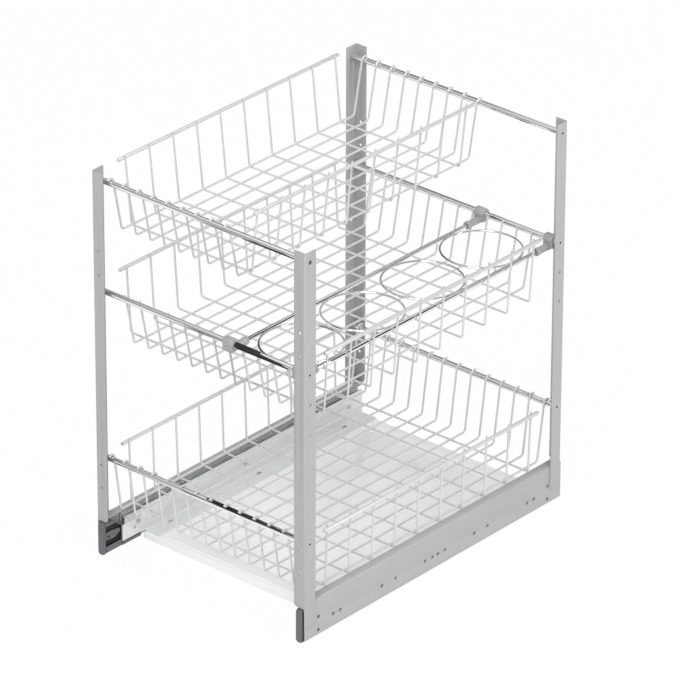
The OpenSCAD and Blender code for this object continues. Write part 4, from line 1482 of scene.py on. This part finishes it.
# Brightness of the sky from the horizon, at 0, to straight overhead, at 1
SKY_MARKS = ((0.0, 0.9), (0.03, 0.6), (0.2, 0.5), (0.34, 0.65), (0.55, 1.0), (1.0, 1.75))

SENSOR_WIDTH = 36.0
FARTHEST_SEEN = 200.0


def build_camera(sizes):
    """Camera at its place, turned by azimuth, elevation and roll."""
    az, el, roll = sizes.azimuth, sizes.elevation, sizes.roll
    back = Vector((math.sin(az) * math.cos(el), -math.cos(az) * math.cos(el), math.sin(el)))
    right = Vector((math.cos(az), math.sin(az), 0))
    up = back.cross(right)
    right_rolled = right * math.cos(roll) + up * math.sin(roll)
    up_rolled = -right * math.sin(roll) + up * math.cos(roll)
    camera = bpy.data.cameras.new("camera")
    camera.lens = sizes.lens
    camera.sensor_width = SENSOR_WIDTH
    camera.clip_end = FARTHEST_SEEN
    obj = put_in_scene("camera", camera)
    turn = Matrix((right_rolled, up_rolled, back)).transposed().to_4x4()
    obj.matrix_world = Matrix.Translation(sizes.camera) @ turn
    bpy.context.scene.camera = obj


def build_floor(sizes):
    """Wide pale floor, partly seen as plain white, which keeps the shadow."""
    half = sizes.floor
    mesh = bpy.data.meshes.new("floor")
    mesh.from_pydata([(-half, -half, 0), (half, -half, 0), (half, half, 0), (-half, half, 0)],
                     [], [(0, 1, 2, 3)])
    obj = put_in_scene("floor", mesh)
    material = bpy.data.materials.new("studio_floor")
    material.use_nodes = True
    tree = material.node_tree
    tree.nodes.clear()
    out = tree.nodes.new("ShaderNodeOutputMaterial")
    paint = tree.nodes.new("ShaderNodeBsdfDiffuse")
    paint.inputs["Color"].default_value = rgba((FLOOR_PAINT,) * 3)
    glow = tree.nodes.new("ShaderNodeEmission")
    glow.inputs["Strength"].default_value = 1.0
    path = tree.nodes.new("ShaderNodeLightPath")
    seen = math_node(tree, "MAXIMUM", path.outputs["Is Camera Ray"], path.outputs["Is Glossy Ray"])
    seen = math_node(tree, "MAXIMUM", seen, path.outputs["Is Transmission Ray"])
    factor = math_node(tree, "MULTIPLY", seen, sizes.whiteness)
    mix = tree.nodes.new("ShaderNodeMixShader")
    tree.links.new(factor, mix.inputs[0])
    tree.links.new(paint.outputs[0], mix.inputs[1])
    tree.links.new(glow.outputs[0], mix.inputs[2])
    tree.links.new(mix.outputs[0], out.inputs["Surface"])
    mesh.materials.append(material)


def build_sky(sizes):
    """Studio sky: bright overhead, darkest low over the horizon."""
    world = bpy.data.worlds.new("studio")
    bpy.context.scene.world = world
    world.use_nodes = True
    tree = world.node_tree
    tree.nodes.clear()
    out = tree.nodes.new("ShaderNodeOutputWorld")
    sky = tree.nodes.new("ShaderNodeBackground")
    sky.inputs["Strength"].default_value = sizes.sky
    where = tree.nodes.new("ShaderNodeTexCoord").outputs["Generated"]
    split = tree.nodes.new("ShaderNodeSeparateXYZ")
    tree.links.new(where, split.inputs[0])
    ramp = tree.nodes.new("ShaderNodeValToRGB")
    ramp.color_ramp.interpolation = "EASE"
    elements = ramp.color_ramp.elements
    while len(elements) < len(SKY_MARKS):
        elements.new(0.5)
    for element, (position, value) in zip(elements, SKY_MARKS):
        element.position = position
        element.color = rgba((value,) * 3)
    tree.links.new(split.outputs["Z"], ramp.inputs["Fac"])
    tree.links.new(ramp.outputs["Color"], sky.inputs["Color"])
    tree.links.new(sky.outputs[0], out.inputs["Surface"])


def add_softbox(name, place, size, power):
    """Rectangular soft light aimed at the pull-out."""
    light = bpy.data.lights.new(name, "AREA")
    light.shape = "RECTANGLE"
    light.size, light.size_y = size
    light.energy = power
    obj = put_in_scene(name, light)
    obj.location = place
    aim = Vector(LIGHT_TARGET) - Vector(place)
    obj.rotation_euler = aim.to_track_quat("-Z", "Y").to_euler()


# Black cards that give the chrome its dark bands, by their corners in metres. The first three
# stand off the pull-out, the others close to it or inside it.
CARDS = (
    ("card_front_left", ((-0.5, -1.5, 0.0), (-0.5, -0.78, 0.0), (-0.5, -0.78, 0.3),
                         (-0.5, -1.5, 0.3))),
    ("card_back", ((-0.95, 1.2, 0.3), (-0.5, 1.2, 0.3), (-0.5, 1.2, 1.0), (-0.95, 1.2, 1.0))),
    ("card_above", ((-0.7, 0.2, 1.5), (0.3, 0.2, 1.5), (-1.2, 1.1, 1.5), (-2.2, 1.1, 1.5))),
    ("card_inner", ((0.045, -0.5, 0.17), (0.045, -0.17, 0.17), (0.045, -0.17, 0.49),
                    (0.045, -0.5, 0.49))),
    ("card_low", ((0.0, -0.5, 0.15), (0.0, -0.17, 0.15), (0.0, -0.17, 0.3), (0.0, -0.5, 0.3))),
    ("card_floor", ((-0.43, -0.66, 0.002), (-0.28, -0.66, 0.002), (-0.28, -0.3, 0.002),
                    (-0.43, -0.3, 0.002))),
    ("card_side", ((0.3, -0.12, 0.36), (0.3, 0.22, 0.36), (0.3, 0.22, 0.75),
                   (0.3, -0.12, 0.75))),
    ("card_rings", ((0.045, 0.05, 0.38), (0.045, 0.215, 0.38), (0.045, 0.215, 0.42),
                    (0.045, 0.05, 0.42))),
)


def add_card(name, corners):
    """Black card that shows only in reflections."""
    mesh = bpy.data.meshes.new(name)
    mesh.from_pydata(corners, [], [(0, 1, 2, 3)])
    material = bpy.data.materials.get("black_card")
    if not material:
        material, _, shader = new_material("black_card")
        shader.inputs["Base Color"].default_value = rgba((0.01,) * 3)
        shader.inputs["Roughness"].default_value = 0.9
    mesh.materials.append(material)
    obj = put_in_scene(name, mesh)
    obj.visible_camera = False
    obj.visible_diffuse = False
    obj.visible_shadow = False


# Operators


class PULLOUT_OT_stage(Operator):
    """Build the camera, floor, sky and lights"""
    bl_idname = "pullout.stage"
    bl_label = "Stage"

    def execute(self, context):
        sizes = context.scene.pullout_stage
        build_camera(sizes)
        build_floor(sizes)
        build_sky(sizes)
        for name, corners in CARDS:
            add_card(name, corners)
        add_softbox("key_light", KEY_PLACE, KEY_SIZE, sizes.key)
        add_softbox("fill_light", FILL_PLACE, FILL_SIZE, sizes.fill)
        context.scene.view_settings.view_transform = "Standard"
        return {"FINISHED"}


class PULLOUT_OT_posts(Operator):
    """Build the four angle posts"""
    bl_idname = "pullout.posts"
    bl_label = "Posts"

    def execute(self, context):
        for side in SIDES:
            for end in ENDS:
                build_post(side, end, context.scene.pullout_sheets)
        return {"FINISHED"}


class PULLOUT_OT_rails(Operator):
    """Build the side rails"""
    bl_idname = "pullout.rails"
    bl_label = "Rails"

    def execute(self, context):
        for side in SIDES:
            build_rail(side, context.scene.pullout_sheets)
        return {"FINISHED"}


class PULLOUT_OT_runners(Operator):
    """Build the ball runners and their brackets"""
    bl_idname = "pullout.runners"
    bl_label = "Runners"

    def execute(self, context):
        for side in SIDES:
            build_runner(side, context.scene.pullout_sheets)
            build_bracket(side)
        dress_runner_parts()
        build_bracket_screws()
        return {"FINISHED"}


class PULLOUT_OT_base_plate(Operator):
    """Build the white base plate"""
    bl_idname = "pullout.base_plate"
    bl_label = "Base plate"

    def execute(self, context):
        build_base_plate()
        return {"FINISHED"}


class PULLOUT_OT_crossbars(Operator):
    """Build the chromed crossbars and their screws"""
    bl_idname = "pullout.crossbars"
    bl_label = "Crossbars"

    def execute(self, context):
        sizes = context.scene.pullout_sheets
        for level in LEVELS:
            for end in ENDS:
                build_crossbar(level, end, sizes)
        build_bar_screws(sizes)
        return {"FINISHED"}


class PULLOUT_OT_baskets(Operator):
    """Build the three wire baskets"""
    bl_idname = "pullout.baskets"
    bl_label = "Baskets"

    def execute(self, context):
        for level in LEVELS:
            build_basket(level, context.scene.pullout_wires)
        return {"FINISHED"}


class PULLOUT_OT_bottle_rack(Operator):
    """Build the bottle rack and its clips"""
    bl_idname = "pullout.bottle_rack"
    bl_label = "Bottle rack"

    def execute(self, context):
        sizes = context.scene.pullout_rack
        build_rack(sizes)
        for end in ENDS:
            for where in ("inner", "outer"):
                build_clip(end, where, sizes)
        return {"FINISHED"}


class PULLOUT_OT_end_caps(Operator):
    """Build the end caps with their inserts"""
    bl_idname = "pullout.end_caps"
    bl_label = "End caps"

    def execute(self, context):
        sizes = context.scene.pullout_caps
        for side in SIDES:
            build_end_cap(side, sizes)
            build_cap_insert(side, sizes)
        build_cap_screws(sizes)
        return {"FINISHED"}


PIECE_OPERATORS = (PULLOUT_OT_posts, PULLOUT_OT_rails, PULLOUT_OT_runners,
                   PULLOUT_OT_base_plate, PULLOUT_OT_crossbars, PULLOUT_OT_baskets,
                   PULLOUT_OT_bottle_rack, PULLOUT_OT_end_caps)


SCENE_GROUPS = (
    ("pullout_sheets", SheetSizes), ("pullout_wires", WireSizes), ("pullout_rack", RackSizes),
    ("pullout_caps", CapSizes), ("pullout_colours", FinishColours),
    ("pullout_stage", StageSizes),
)


class PULLOUT_PT_sidebar(Panel):
    """Lists the pieces of the pull-out"""
    bl_idname = "PULLOUT_PT_sidebar"
    bl_label = "Pull-out"
    bl_space_type = "VIEW_3D"
    bl_region_type = "UI"
    bl_category = "Pull-out"

    def draw(self, context):
        layout = self.layout
        layout.operator(PULLOUT_OT_stage.bl_idname)
        for operator in PIECE_OPERATORS:
            layout.operator(operator.bl_idname)
        for scene_name, group in SCENE_GROUPS:
            box = layout.box()
            for name in group.__annotations__:
                box.prop(getattr(context.scene, scene_name), name)


def register():
    """Adds the settings, operators and sidebar to Blender."""
    for _, group in SCENE_GROUPS:
        bpy.utils.register_class(group)
    for name, group in SCENE_GROUPS:
        setattr(bpy.types.Scene, name, PointerProperty(type=group))
    bpy.utils.register_class(PULLOUT_OT_stage)
    for operator in PIECE_OPERATORS:
        bpy.utils.register_class(operator)
    bpy.utils.register_class(PULLOUT_PT_sidebar)


def unregister():
    """Takes them out again."""
    bpy.utils.unregister_class(PULLOUT_PT_sidebar)
    for operator in reversed(PIECE_OPERATORS):
        bpy.utils.unregister_class(operator)
    bpy.utils.unregister_class(PULLOUT_OT_stage)
    for name, group in reversed(SCENE_GROUPS):
        delattr(bpy.types.Scene, name)
        bpy.utils.unregister_class(group)


def main():
    """Builds the stage and every piece."""
    register()
    bpy.ops.pullout.stage()
    bpy.ops.pullout.posts()
    bpy.ops.pullout.rails()
    bpy.ops.pullout.runners()
    bpy.ops.pullout.base_plate()
    bpy.ops.pullout.crossbars()
    bpy.ops.pullout.baskets()
    bpy.ops.pullout.bottle_rack()
    bpy.ops.pullout.end_caps()


if __name__ == "__main__":
    main()
